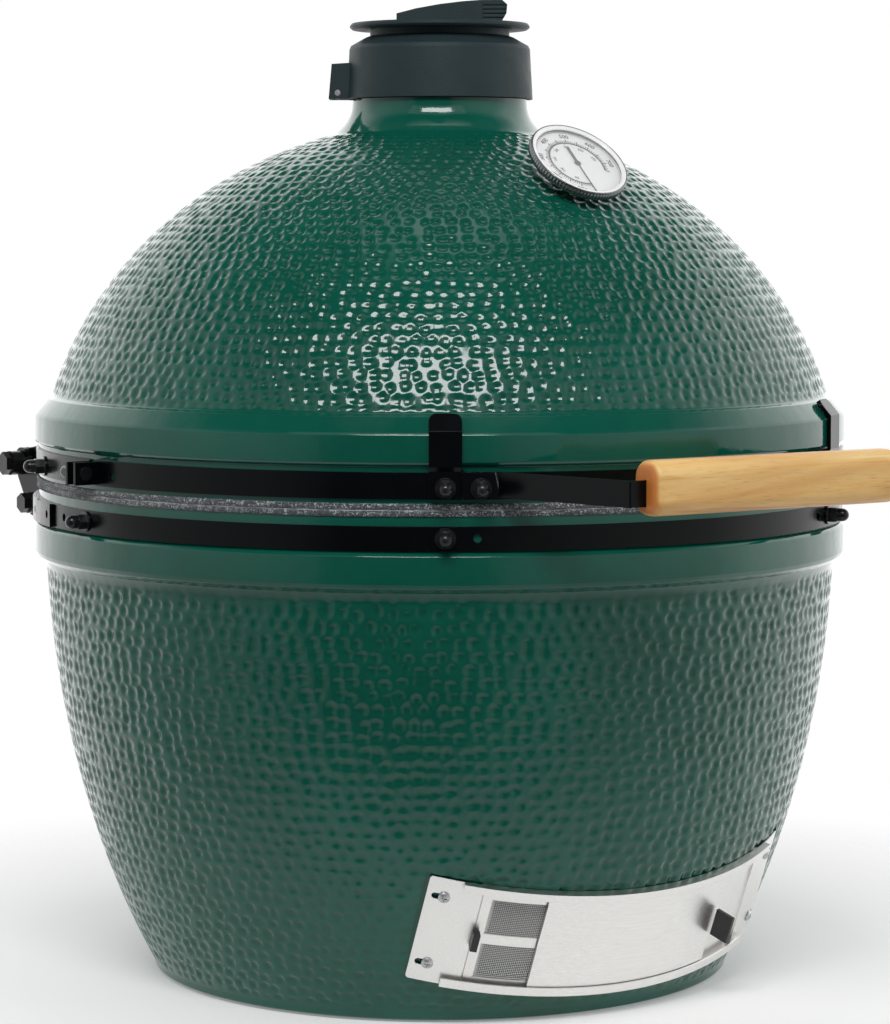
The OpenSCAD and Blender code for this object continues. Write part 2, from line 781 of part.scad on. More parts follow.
module dome_shell() {
    outer = [for (z = steps(486, 702, 34)) [dome_r(z), z]];
    inner = [for (z = steps(682, dome_rim_z + 30, 26)) [cavity_dome_r(z), z]];
    color([0.10, 0.33, 0.24])
        difference() {
            rotate_extrude($fn = big_fn)
                polygon(concat([[cavity_r, dome_rim_z], [recess_r, dome_rim_z], [recess_r, 446.6],
                    [lip_r - 1.4, 448], [lip_r, 449.8], [lip_r, 470], [lip_r - 1.2, 472],
                    [331.5, 483.6], [328.5, 485]], outer,
                    [[80.5, 705.2], [77.2, 708.2], [neck_r, neck_z[0]], [neck_r, neck_z[1]],
                     [spigot_r, neck_z[1] + 1], [spigot_r, spigot_z - 2], [spigot_r - 2, spigot_z],
                     [chimney_r, spigot_z], [chimney_r, 694], [chimney_r + 12, 686]], inner));
            thermometer_pose() translate([0, 0, -60]) cylinder(r = 6.5, h = 80);
        }
}

module dome_gasket() {
    color([0.42, 0.43, 0.44])
        tube(gasket_r[0], gasket_r[1], [dome_rim_z - gasket_t, dome_rim_z]);
}

// ---- thermometer, drawn along +Z from the dome's surface ----

thermo_z = dome_centre_z + dome_b * sqrt(1 - pow(thermo_r / dome_a, 2));
stem_r = 4;
case_back = dial_lift - 9;
case_floor = case_back + 1.4;
dial_z = dial_lift - 4.6;     // top of the dial
glass_z = dial_lift - 2.8;    // underside of the glass
dial_r = bezel_r - 2.6;
spindle_r = 0.8;
needle_rest = -90;            // the needle rests pointing straight down the dial

module thermometer_pose() {
    translate([0, -thermo_r, thermo_z]) rotate([90 - thermo_rise, 0, 0]) children();
}

module thermometer_case() {
    color([0.80, 0.80, 0.80])
        thermometer_pose() difference() {
            union() {
                rotate_extrude($fn = 120)
                    polygon([[0, case_back], [bezel_r - 9, case_back], [bezel_r - 1, case_back + 1],
                        [bezel_r, case_back + 2], [bezel_r, dial_lift - 1.2],
                        [bezel_r - 1.2, dial_lift], [bezel_r - 3, dial_lift - 0.6],
                        [bezel_r - 4, dial_lift - 1.5], [bezel_r - 2.5, dial_lift - 1.5],
                        [bezel_r - 2.5, case_floor], [0, case_floor]]);
                translate([0, 0, 2.6]) cylinder(r = 10.5, h = 7, $fn = 6);
                translate([0, 0, 9]) cylinder(r = 7, h = case_floor - 9);
                translate([0, 0, -stem_reach]) cylinder(r = stem_r, h = stem_reach + case_floor);
            }
            translate([0, 0, 6]) cylinder(r = 1.4, h = 20);
        }
}

module thermometer_dial() {
    color([0.93, 0.93, 0.92])
        thermometer_pose() difference() {
            translate([0, 0, dial_z - 1]) cylinder(r = dial_r, h = 1);
            translate([0, 0, dial_z - 2]) cylinder(r = spindle_r + fit, h = 3);
        }
}

module thermometer_glass() {
    color([0.85, 0.92, 0.95, 0.3])
        thermometer_pose() translate([0, 0, glass_z]) cylinder(r = dial_r, h = 1.1);
}

// Thin pointer with a broad counterweight behind the hub
module thermometer_needle() {
    color([0.05, 0.05, 0.05])
        thermometer_pose() rotate([0, 0, needle_rest]) translate([0, 0, dial_z]) {
            translate([0, 0, -9]) cylinder(r = spindle_r, h = 9.5);
            translate([0, 0, 0.2]) cylinder(r = 2.8, h = 0.7);
            translate([0, -0.5, 0.4]) cube([34, 1, 0.35]);
            translate([-18.5, -1.3, 0.4]) cube([18, 2.6, 0.35]);
        }
}

module thermometer_clip() {
    inside = -wall - 12;
    color([0.70, 0.70, 0.72])
        thermometer_pose() translate([0, 0, inside]) difference() {
            union() {
                cylinder(r = 9, h = 4, $fn = 6);
                translate([0, 0, 4]) cylinder(r = 14, h = 1.5);
            }
            translate([0, 0, -1]) cylinder(r = stem_r, h = 10);
        }
}

// ---- vent cap: the lever points along local +X, the hinge lug along local -X ----

cap_top_z = 784;
cap_plate_t = 6;
lug_w = 34;
lug_top_z = 761;
knuckle_w = 15.6;
knuckle_r = 4.8;
cap_pin = 2.5;
hole_pcd_r = 40;
vent_hole_r = 9.5;

module vent_pose() {
    rotate([0, 0, vent_turn]) children();
}

// Along the cap's hinge pin
module pin_line(r, w) {
    translate([-cap_pin_r, 0, cap_pin_z]) rotate([90, 0, 0]) cylinder(r = r, h = w, center = true);
}

module neck_collar() {
    color([0.12, 0.14, 0.14])
        vent_pose() difference() {
            union() {
                tube(spigot_r + 0.1, spigot_r + 3.3, [733, 752]);
                pin_line(knuckle_r, knuckle_w);
                translate([-cap_pin_r, -knuckle_w / 2, 733.2])
                    cube([cap_pin_r - spigot_r - 1.4, knuckle_w, 8]);
            }
            pin_line(cap_pin + fit, lug_w);
            cylinder(r = spigot_r + 0.1, h = 900, $fn = big_fn);
        }
}

module vent_cap() {
    bottom = 732;
    color([0.13, 0.17, 0.17])
        vent_pose() difference() {
            union() {
                rotate_extrude($fn = big_fn)
                    polygon([[0, cap_top_z - cap_plate_t], [58, cap_top_z - cap_plate_t],
                        [72.4, 771], [75.2, bottom], [78.2, bottom], [75.9, 773.5], [74.6, 776.4],
                        [62.5, 783.2], [60.5, cap_top_z], [0, cap_top_z]]);
                difference() {
                    translate([0, lug_w / 2, 0]) rotate([90, 0, 0]) linear_extrude(height = lug_w)
                        polygon([[-93, bottom], [-76, bottom], [-74.8, lug_top_z + 1],
                            [-90.4, lug_top_z]]);
                    rotate_extrude($fn = big_fn)
                        polygon([[0, bottom - 1], [76.5, bottom - 1], [74, lug_top_z + 3],
                            [0, lug_top_z + 3]]);
                }
            }
            pin_line(cap_pin, lug_w + 2);
            pin_line(knuckle_r + 0.6, knuckle_w + 1);
            translate([-cap_pin_r - knuckle_r - 0.6, -knuckle_w / 2 - 0.5, bottom - 1])
                cube([20, knuckle_w + 1, cap_pin_z - bottom + 1]);
            translate([-cap_pin_r, -knuckle_w / 2 - 0.5, bottom - 1])
                cube([16, knuckle_w + 1, 11.2]);
            translate([-88, -11, lug_top_z - 7]) cube([8.5, 22, 10]);
            for (i = [0:5])
                rotate([0, 0, 60 * i]) translate([hole_pcd_r, 0, cap_top_z - 10])
                    cylinder(r = vent_hole_r, h = 20);
            translate([0, 0, 700]) cylinder(r = 4, h = 100);
        }
}

module vent_cap_pin() {
    color([0.6, 0.6, 0.62]) vent_pose() pin_line(cap_pin, lug_w);
}

fin_t = 11;

module vent_disc() {
    top = disc_z + 5;
    under = cap_top_z + 0.3;
    color([0.13, 0.17, 0.17])
        vent_pose() difference() {
            union() {
                rotate_extrude($fn = big_fn)
                    polygon([[0, under], [58.5, under], [58.5, disc_z], [disc_r - 2, disc_z],
                        [disc_r, disc_z + 1.6], [disc_r, disc_z + 3.2], [disc_r - 1.6, top], [0, top]]);
                translate([0, fin_t / 2, 0]) rotate([90, 0, 0]) linear_extrude(height = fin_t)
                    polygon([[-36.3, top - 1], [-36.3, 803.6], [-20, 807.8], [0, 811.4], [20, 813.8],
                        [36, 815], [52, 815.2], [56.6, 811], [56, 804], [50, top - 1]]);
            }
            for (i = [0:5])
                rotate([0, 0, 60 * i + 30]) translate([hole_pcd_r, 0, 700])
                    cylinder(r = vent_hole_r, h = 110);
            translate([0, 0, 700]) cylinder(r = 4 + fit, h = 91);
            for (side = [-1, 1], z = [799.5, 803, 806.5, 810])
                translate([36, side * fin_t / 2, z]) rotate([0, 90, 0]) cylinder(r = 0.9, h = 24);
        }
}

module vent_disc_bolt() {
    color([0.55, 0.55, 0.57]) {
        translate([0, 0, 772]) cylinder(r = 4, h = 18);
        translate([0, 0, cap_top_z - cap_plate_t - 7]) cylinder(r = 7.5, h = 7, $fn = 6);
    }
}

base_shell();
fire_box();
fire_ring();
fire_grate();
cooking_grid();
base_gasket();
lower_band();
lower_band_bolts();
hinge_base_bracket();
hinge_lower_rod();
hinge_springs();
door_frame();
door_frame_screws();
door_panel();
door_panel_grip();
screen_frame();
screen_mesh();
screen_grip();
dome_shell();
dome_gasket();
upper_band();
upper_band_bolts();
band_clamp_bolts();
dome_tab_left();
dome_tab_right();
handle_strap_left();
handle_strap_right();
handle();
hinge_dome_bracket();
hinge_shaft();
hinge_spacers();
thermometer_case();
thermometer_dial();
thermometer_glass();
thermometer_clip();
thermometer_needle();
neck_collar();
vent_cap();
vent_cap_pin();
vent_disc();
vent_disc_bolt();
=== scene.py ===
import math

import bmesh
import bpy
import numpy as np
from mathutils import Matrix, Vector


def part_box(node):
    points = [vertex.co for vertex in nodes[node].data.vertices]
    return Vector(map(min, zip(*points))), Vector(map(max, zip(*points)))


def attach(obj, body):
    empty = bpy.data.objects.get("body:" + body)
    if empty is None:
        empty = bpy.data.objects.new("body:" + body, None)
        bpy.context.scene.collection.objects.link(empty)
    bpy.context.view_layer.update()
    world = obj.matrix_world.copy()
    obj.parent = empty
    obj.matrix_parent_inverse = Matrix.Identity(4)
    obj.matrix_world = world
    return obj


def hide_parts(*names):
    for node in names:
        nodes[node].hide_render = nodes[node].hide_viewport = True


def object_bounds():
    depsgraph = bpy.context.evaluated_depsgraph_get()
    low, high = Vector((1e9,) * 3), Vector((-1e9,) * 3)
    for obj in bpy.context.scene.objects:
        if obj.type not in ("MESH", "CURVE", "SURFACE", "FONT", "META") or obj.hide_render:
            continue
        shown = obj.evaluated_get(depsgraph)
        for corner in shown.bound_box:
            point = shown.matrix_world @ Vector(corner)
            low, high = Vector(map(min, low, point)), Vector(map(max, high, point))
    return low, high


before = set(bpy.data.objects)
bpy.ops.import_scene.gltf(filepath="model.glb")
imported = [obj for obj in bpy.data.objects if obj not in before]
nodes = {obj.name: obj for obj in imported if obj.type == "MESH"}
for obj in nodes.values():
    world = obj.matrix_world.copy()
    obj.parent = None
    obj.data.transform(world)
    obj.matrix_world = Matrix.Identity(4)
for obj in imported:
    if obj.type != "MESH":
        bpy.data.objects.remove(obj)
cad_low, cad_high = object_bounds()
scene = bpy.context.scene
MM = 0.001
DETAIL = 1.0
COLUMNS = 1280 if DETAIL == 1 else 640
INSIDE_COLUMNS = 160            # the smooth insides need fewer than the dimpled outsides


# ---- sizes in mm, those of the CAD source unless a comment says otherwise ----

BASE_A, BASE_B, BASE_Z = 333.2, 560.9, 388      # half width, half height and centre of the wall's ellipse
DOME_A, DOME_B, DOME_Z = 341.3, 322.1, 391.7
WALL, LIP, RECESS = 25, 342.4, 338              # wall thickness, and radii of the lips and band recesses
CAVITY = 311                    # inner radius at both rims
BASE_LIP_Z, FLOOR_Z = 344, 26   # where the base's dimples end; top of its floor
DOME_LIP_Z, NECK_Z = 486, 702   # where the dome's dimples start and end
NECK, NECK_TOP_Z = 73.8, 731.5  # slimmer than the CAD's straight neck at the top, as it flares out below
SPIGOT, SPIGOT_TOP_Z, FLUE = 70, 757, 52
RIM_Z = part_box("base_gasket")[0].z / MM
DOME_RIM_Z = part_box("dome_gasket")[1].z / MM


# ---- camera, lights and floor ----

CAMERA_SIDE = Vector((-0.5635, -0.826, 0)).normalized()
CAMERA_RIGHT = Vector((-CAMERA_SIDE.y, CAMERA_SIDE.x, 0))


def make_camera():
    data = bpy.data.cameras.new("camera")
    data.sensor_width = 36
    data.lens = 119.494
    data.clip_end = 60
    camera = bpy.data.objects.new("camera", data)
    scene.collection.objects.link(camera)
    camera.location = CAMERA_SIDE * 2.8801 + Vector((0, 0, 0.6293))
    pitch = math.radians(4.877)
    ahead = -CAMERA_SIDE * math.cos(pitch) - Vector((0, 0, math.sin(pitch))) + CAMERA_RIGHT * 0.00153
    camera.rotation_euler = ahead.to_track_quat("-Z", "Y").to_euler()
    scene.camera = camera


def area_light(name, direction, distance, size, strength, target=(0, 0, 0.45)):
    light = bpy.data.lights.new(name, "AREA")
    light.shape = "RECTANGLE"
    light.size, light.size_y = size
    light.energy = strength
    obj = bpy.data.objects.new(name, light)
    scene.collection.objects.link(obj)
    obj.location = Vector(target) + Vector(direction).normalized() * distance
    obj.rotation_euler = Vector(direction).to_track_quat("Z", "Y").to_euler()
    obj.visible_camera = False
    return obj


def toward(azimuth, elevation):
    """A direction given from the camera's side: azimuth to the camera's right, elevation up, degrees."""
    a, e = math.radians(azimuth), math.radians(elevation)
    flat = CAMERA_SIDE * math.cos(a) + CAMERA_RIGHT * math.sin(a)
    return flat * math.cos(e) + Vector((0, 0, math.sin(e)))


def ramp_stops(node, stops):
    """Sets a colour ramp's stops from (position, colour) pairs."""
    ramp = node.color_ramp
    while len(ramp.elements) > 1:
        ramp.elements.remove(ramp.elements[-1])
    for i, (at, colour) in enumerate(stops):
        element = ramp.elements[0] if i == 0 else ramp.elements.new(at)
        element.position = at
        element.color = (*colour, 1)


def studio():
    """A white studio: bright behind the object, calmer at the sides, and darker where the camera stands."""
    world = bpy.data.worlds.new("studio")
    scene.world = world
    world.use_nodes = True
    tree = world.node_tree
    tree.nodes.clear()
    new, link = tree.nodes.new, tree.links.new
    where = new("ShaderNodeTexCoord")
    level = new("ShaderNodeVectorMath")
    level.operation = "MULTIPLY"
    level.inputs[1].default_value = (1, 1, 0)
    link(where.outputs["Generated"], level.inputs[0])
    unit = new("ShaderNodeVectorMath")
    unit.operation = "NORMALIZE"
    link(level.outputs["Vector"], unit.inputs[0])
    facing = new("ShaderNodeVectorMath")
    facing.operation = "DOT_PRODUCT"
    facing.inputs[1].default_value = toward(-9, 0)
    link(unit.outputs["Vector"], facing.inputs[0])
    spread = new("ShaderNodeMapRange")
    spread.inputs["From Min"].default_value = -1
    link(facing.outputs["Value"], spread.inputs["Value"])
    walls = new("ShaderNodeValToRGB")
    ramp_stops(walls, [(at, (value,) * 3) for at, value in WALL_STOPS])
    link(spread.outputs["Result"], walls.inputs["Fac"])
    split = new("ShaderNodeSeparateXYZ")
    link(where.outputs["Generated"], split.inputs[0])
    rise = new("ShaderNodeMapRange")
    rise.inputs["From Min"].default_value = -1
    link(split.outputs["Z"], rise.inputs["Value"])
    height = new("ShaderNodeValToRGB")
    ramp_stops(height, [(at, (value,) * 3) for at, value in HEIGHT_STOPS])
    link(rise.outputs["Result"], height.inputs["Fac"])
    both = new("ShaderNodeMix")
    both.data_type = "RGBA"
    both.blend_type = "MULTIPLY"
    both.inputs["Factor"].default_value = 1
    link(walls.outputs["Color"], both.inputs[6])
    link(height.outputs["Color"], both.inputs[7])
    light = new("ShaderNodeBackground")
    link(both.outputs[2], light.inputs["Color"])
    seen = new("ShaderNodeBackground")
    seen.inputs["Color"].default_value = (1, 1, 1, 1)
    path = new("ShaderNodeLightPath")
    choose = new("ShaderNodeMixShader")
    out = new("ShaderNodeOutputWorld")
    link(path.outputs["Is Camera Ray"], choose.inputs[0])
    link(light.outputs[0], choose.inputs[1])
    link(seen.outputs[0], choose.inputs[2])
    link(choose.outputs[0], out.inputs["Surface"])

    area_light("key_softbox", toward(-4, 41), 2.3, (1.25, 0.6), 29)
    area_light("key_halo", toward(-4, 42), 2.6, (3.0, 1.5), 7)
    scene.view_settings.view_transform = "Standard"
    scene.view_settings.look = "None"


# radiance of the walls, from the side away from the camera (0) to the camera's own side (1)
WALL_STOPS = [(0, 1.9), (0.35, 1.55), (0.5, 0.9), (0.7, 0.7), (0.88, 0.5), (0.945, 0.32), (0.965, 0.10), (1, 0.07)]
# share of that radiance from straight down (0) to straight up (1)
HEIGHT_STOPS = [(0, 0.7), (0.42, 0.75), (0.5, 0.95), (0.7, 1.0), (0.8, 0.8), (0.86, 0.3), (0.9, 0.05), (0.968, 0.05),
                (0.986, 0.5), (1, 0.85)]


def make_floor():
    """A pale floor that fades into the white background a little way out."""
    mesh = mesh_from("floor", [(-9, -9, 0), (9, -9, 0), (9, 9, 0), (-9, 9, 0)], [(0, 1, 2, 3)])
    floor = bpy.data.objects.new("floor", mesh)
    scene.collection.objects.link(floor)
    floor.location.z = cad_low.z - 0.0002
    s = Shader("pale_floor", Roughness=0.9)
    s.link(s.mix(s.grey(s.noise(0.6, 2), 0, 1), (0.78, 0.78, 0.78), (0.82, 0.82, 0.82)), "Base Color")
    s.link(s.grey(s.distance((1, 1, 1)), 1, 0, 0.38, 0.8), "Alpha")
    s.set(Emission_Color=(1, 1, 1, 1), Emission_Strength=0.22)
    mesh.materials.append(s.material)


# ---- materials ----


class Shader:
    """A principled material with a few helpers for its nodes."""

    def __init__(self, name, **values):
        self.material = bpy.data.materials.new(name)
        self.material.use_nodes = True
        self.tree = self.material.node_tree
        self.main = self.tree.nodes["Principled BSDF"]
        self.set(**values)
        self.place = self.add("ShaderNodeTexCoord").outputs["Object"]
        self.relief = None

    def set(self, **values):
        for key, value in values.items():
            self.main.inputs[key.replace("_", " ")].default_value = value

    def add(self, kind, **inputs):
        node = self.tree.nodes.new(kind)
        for key, value in inputs.items():
            socket = node.inputs[key.replace("_", " ")]
            if isinstance(value, bpy.types.NodeSocket):
                self.tree.links.new(value, socket)
            else:
                socket.default_value = value
        return node

    def link(self, out, socket):
        self.tree.links.new(out, self.main.inputs[socket])

    def feed(self, node, values):
        """Gives a node's inputs their values in order; a value is a number, a vector or another node's output."""
        for socket, value in zip(node.inputs, values):
            if isinstance(value, bpy.types.NodeSocket):
                self.tree.links.new(value, socket)
            else:
                socket.default_value = value

    def calc(self, operation, *values):
        node = self.tree.nodes.new("ShaderNodeMath")
        node.operation = operation
        self.feed(node, values)
        return node.outputs["Value"]

    def distance(self, scale):
        """How far a point is from the origin, with each axis scaled."""
        scaled = self.tree.nodes.new("ShaderNodeVectorMath")
        scaled.operation = "MULTIPLY"
        self.feed(scaled, (self.place, scale))
        length = self.tree.nodes.new("ShaderNodeVectorMath")
        length.operation = "LENGTH"
        self.feed(length, (scaled.outputs["Vector"],))
        return length.outputs["Value"]

    def stretched(self, scale, rotation=(0, 0, 0)):
        node = self.add("ShaderNodeMapping", Vector=self.place, Scale=scale, Rotation=rotation)
        return node.outputs["Vector"]

    def noise(self, scale, detail=3, rough=0.55, vector=None, distortion=0.0):
        return self.add("ShaderNodeTexNoise", Vector=vector or self.place, Scale=scale, Detail=detail,
                        Roughness=rough, Distortion=distortion).outputs["Fac"]

    def ramp(self, value, stops):
        node = self.add("ShaderNodeValToRGB", Fac=value)
        ramp_stops(node, stops)
        return node.outputs["Color"]

    def grey(self, value, low, high, start=0.3, end=0.7):
        node = self.add("ShaderNodeMapRange", Value=value, From_Min=start, From_Max=end,
                        To_Min=low, To_Max=high)
        return node.outputs["Result"]

    def mix(self, factor, first, second, blend="MIX"):
        node = self.tree.nodes.new("ShaderNodeMix")
        node.data_type = "RGBA"
        node.blend_type = blend
        for socket, value in ((node.inputs["Factor"], factor), (node.inputs[6], first), (node.inputs[7], second)):
            if isinstance(value, bpy.types.NodeSocket):
                self.tree.links.new(value, socket)
            else:
                socket.default_value = (*value, 1) if isinstance(value, tuple) else value
        return node.outputs[2]

    def bump(self, height, distance, strength=1.0):
        """Adds relief of that depth in metres on top of what there is."""
        node = self.add("ShaderNodeBump", Height=height, Distance=distance, Strength=strength)
        if self.relief is not None:
            self.tree.links.new(self.relief, node.inputs["Normal"])
        self.relief = node.outputs["Normal"]
        self.link(self.relief, "Normal")

    def soften(self, radius):
        """Rounds sharp edges by that radius in metres."""
        node = self.tree.nodes.new("ShaderNodeBevel")
        node.inputs["Radius"].default_value = radius
        self.relief = node.outputs["Normal"]
        self.link(self.relief, "Normal")


def glaze():
    """Thick glossy green glaze over hammered ceramic, its colour darker in the pits by each point's share of pit
    depth.
    """
    s = Shader("glazed_ceramic", IOR=1.5, Roughness=0.1)
    cloud = s.noise(9, 4)
    green = s.mix(s.grey(cloud, 0, 1), (0.0016, 0.067, 0.044), (0.0032, 0.088, 0.060))
    pit = s.add("ShaderNodeAttribute")
    pit.attribute_name = "pit"
    green = s.mix(s.grey(pit.outputs["Fac"], 0, 0.55, 0.1, 1), green, (0.0012, 0.060, 0.038))
    speck = s.noise(900, 2)
    green = s.mix(s.grey(speck, 0, 0.25, 0.66, 0.76), green, (0.012, 0.10, 0.068))
    s.link(green, "Base Color")
    s.link(s.grey(s.noise(60, 3), 0.06, 0.14), "Roughness")
    s.bump(s.noise(38, 2), 0.0007, 0.5)
    s.bump(s.noise(420, 2), 0.00004, 0.6)
    return s.material


def coated(name, dark, light, rough, grain, depth, edge=0.0006, metallic=0.0, shine=0.5):
    """Paint or plating: a colour that drifts a little, fine grain, and softened edges."""
    s = Shader(name, Metallic=metallic, Specular_IOR_Level=shine)
    s.soften(edge)
    s.link(s.mix(s.grey(s.noise(14, 4), 0, 1), dark, light), "Base Color")
    s.link(s.grey(s.noise(45, 4), *rough), "Roughness")
    s.bump(s.noise(grain, 3), depth, 0.8)
    return s.material


def brushed(name, colour, rough, stretch, rotation=(0, 0, 0), depth=0.00002):
    """Steel with long fine brush marks."""
    s = Shader(name, Metallic=1.0)
    s.soften(0.0004)
    marks = s.noise(1, 5, 0.7, s.stretched(stretch, rotation))
    tint = tuple(c * 0.86 for c in colour)
    s.link(s.mix(s.grey(marks, 0, 1), tint, colour), "Base Color")
    s.link(s.grey(marks, *rough), "Roughness")
    s.bump(marks, depth, 0.5)
    return s.material


def light_wood():
    """Oiled pale hardwood: long soft streaks along the bar, short dark pores, rings on its ends."""
    s = Shader("light_wood", Coat_Weight=0.12, Coat_Roughness=0.35)
    streaks = s.noise(1, 5, 0.6, s.stretched((5, 55, 55)), 0.6)
    wide = s.noise(1, 3, 0.5, s.stretched((2.5, 22, 22)), 1.2)
    colour = s.ramp(streaks, [(0.30, (0.49, 0.215, 0.050)), (0.48, (0.78, 0.465, 0.145)),
                              (0.70, (0.86, 0.625, 0.280))])
    colour = s.mix(s.grey(wide, 0, 0.85, 0.47, 0.66), colour, (0.58, 0.268, 0.062))
    pores = s.noise(1, 2, 0.5, s.stretched((60, 1500, 1500)))
    colour = s.mix(s.grey(pores, 0, 0.5, 0.60, 0.72), colour, (0.36, 0.17, 0.06))
    normal = s.add("ShaderNodeSeparateXYZ", Vector=s.add("ShaderNodeNewGeometry").outputs["Normal"])
    facing = s.calc("ABSOLUTE", normal.outputs["X"])
    rings = s.add("ShaderNodeTexWave", Vector=s.stretched((0, 1, 1)), Scale=70.0, Distortion=3.0, Detail=2.0)
    end_colour = s.mix(s.grey(rings.outputs["Fac"], 0, 1, 0, 1), (0.50, 0.160, 0.026), (0.66, 0.240, 0.048))
    colour = s.mix(s.grey(facing, 0, 1, 0.6, 0.9), colour, end_colour)
    s.link(colour, "Base Color")
    s.link(s.grey(streaks, 0.42, 0.6), "Roughness")
    s.bump(pores, 0.00012, 0.5)
    s.bump(streaks, 0.0002, 0.3)
    return s.material


def woven_felt():
    """Dark grey gasket felt with pale loose fibres, palest along the edge where the two gaskets meet."""
    s = Shader("felt", Roughness=0.95, Sheen_Weight=0.3, Sheen_Roughness=0.6)
    fibres = s.noise(820, 3, 0.75)
    lumps = s.noise(260, 3, 0.7)
    colour = s.mix(s.grey(fibres, 0, 1, 0.50, 0.60), (0.014, 0.020, 0.024), (0.55, 0.58, 0.60))
    colour = s.mix(s.grey(lumps, 0, 0.9, 0.44, 0.57), colour, (0.026, 0.036, 0.042))
    height = s.add("ShaderNodeSeparateXYZ", Vector=s.place).outputs["Z"]
    joint = s.calc("COMPARE", height, (RIM_Z + DOME_RIM_Z) / 2 * MM, 0.0005)
    outer_edge = s.grey(s.distance((1, 1, 0)), 0, 1, 0.3362, 0.3372)
    patches = s.grey(s.noise(60, 3), 0.35, 0.95, 0.4, 0.6)
    pale = s.calc("MULTIPLY", s.calc("MULTIPLY", joint, outer_edge), patches)
    colour = s.mix(pale, colour, (0.62, 0.66, 0.66))
    s.link(colour, "Base Color")
    s.bump(fibres, 0.0008, 0.9)
    s.bump(lumps, 0.0012, 0.6)
    return s.material


def fire_clay():
    """Pale porous clay with small dark grains."""
    s = Shader("fire_clay", Roughness=0.9)
    s.soften(0.0015)
    colour = s.mix(s.grey(s.noise(16, 5), 0, 1), (0.50, 0.43, 0.32), (0.66, 0.58, 0.45))
    colour = s.mix(s.grey(s.noise(500, 3), 0, 0.6, 0.6, 0.72), colour, (0.25, 0.20, 0.15))
    s.link(colour, "Base Color")
    s.bump(s.noise(300, 4), 0.0006, 0.6)
    return s.material


def dial_white():
    """Satin white enamel."""
    s = Shader("dial_face", Coat_Weight=0.2)
    s.link(s.mix(s.grey(s.noise(70, 3), 0, 1), (0.85, 0.855, 0.85), (0.91, 0.91, 0.905)), "Base Color")
    s.link(s.grey(s.noise(180, 3), 0.32, 0.42), "Roughness")
    s.bump(s.noise(900, 2), 0.00003, 0.5)
    return s.material


def clear_glass():
    """A thin clear pane that lets nearly all the light through."""
    s = Shader("dial_glass", IOR=1.45, Alpha=0.14)
    s.link(s.grey(s.noise(30, 2), 0.01, 0.03), "Roughness")
    s.set(Base_Color=(0.93, 0.95, 0.95, 1))
    return s.material


MATERIALS = {
    "glazed_ceramic": glaze(),
    "fire_clay": fire_clay(),
    "cast_iron": coated("cast_iron", (0.020, 0.020, 0.021), (0.038, 0.037, 0.036), (0.55, 0.75), 420, 0.0004),
    "grid_steel": brushed("grid_steel", (0.62, 0.62, 0.63), (0.25, 0.4), (60, 60, 60)),
    "felt": woven_felt(),
    "black_steel": coated("black_steel", (0.0010, 0.0018, 0.0022), (0.0020, 0.0030, 0.0034), (0.17, 0.26),
                          900, 0.00006, shine=0.16),
    "black_fasteners": coated("black_fasteners", (0.012, 0.012, 0.014), (0.035, 0.035, 0.038), (0.16, 0.3),
                              700, 0.00004, 0.0005, 0.6),
    "spring_steel": coated("spring_steel", (0.07, 0.07, 0.075), (0.13, 0.13, 0.135), (0.28, 0.42),
                           800, 0.00004, 0.0003, 1.0),
    "stainless": brushed("stainless", (0.90, 0.89, 0.87), (0.26, 0.40), (6, 900, 900)),
    "spark_mesh": brushed("spark_mesh", (0.78, 0.78, 0.77), (0.35, 0.5), (300, 300, 300)),
    "black_grip": coated("black_grip", (0.006, 0.007, 0.008), (0.012, 0.013, 0.014), (0.35, 0.5), 600, 0.00005),
    "light_wood": light_wood(),
    "bezel_steel": brushed("bezel_steel", (0.24, 0.25, 0.26), (0.22, 0.34), (30, 30, 30), depth=0.000004),
    "dial_face": dial_white(),
    "dial_glass": clear_glass(),
    "needle_black": coated("needle_black", (0.006, 0.006, 0.006), (0.014, 0.014, 0.014), (0.3, 0.45), 900, 0.00002,
                           0.0001),
    "cast_cap": coated("cast_cap", (0.015, 0.028, 0.032), (0.021, 0.037, 0.041), (0.45, 0.6), 850, 0.00025, 0.0012,
                       shine=0.22),
    "plain_steel": brushed("plain_steel", (0.55, 0.55, 0.56), (0.28, 0.42), (200, 200, 200)),
}


# ---- mesh helpers ----


def finish_object(mesh, name, body, slot, *stands_for):
    obj = bpy.data.objects.new(name, mesh)
    scene.collection.objects.link(obj)
    mesh.materials.append(MATERIALS[slot])
    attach(obj, body)
    if stands_for:
        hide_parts(*stands_for)
    return obj


def mesh_from(name, points, faces, smooth=True):
    mesh = bpy.data.meshes.new(name)
    mesh.from_pydata([tuple(p) for p in points], [], [tuple(f) for f in faces])
    mesh.update()
    if smooth:
        mesh.shade_smooth()
    return mesh


def fillet(points, radius, pieces=5):
    """Rounds every inner corner of a line of (r, z) points by up to that radius."""
    out = [np.array(points[0], float)]
    for i in range(1, len(points) - 1):
        a, b, c = (np.array(points[i + k], float) for k in (-1, 0, 1))
        u, v = a - b, c - b
        lu, lv = np.linalg.norm(u), np.linalg.norm(v)
        u, v = u / lu, v / lv
        half = math.acos(max(-1, min(1, float(u @ v)))) / 2
        if half > math.radians(86):
            out.append(b)
            continue
        cut = min(radius / math.tan(half), 0.48 * lu, 0.48 * lv)
        start, end = b + u * cut, b + v * cut
        for k in range(pieces + 1):
            t = k / pieces
            out.append(start * (1 - t) ** 2 + b * 2 * t * (1 - t) + end * t * t)
    out.append(np.array(points[-1], float))
    return out


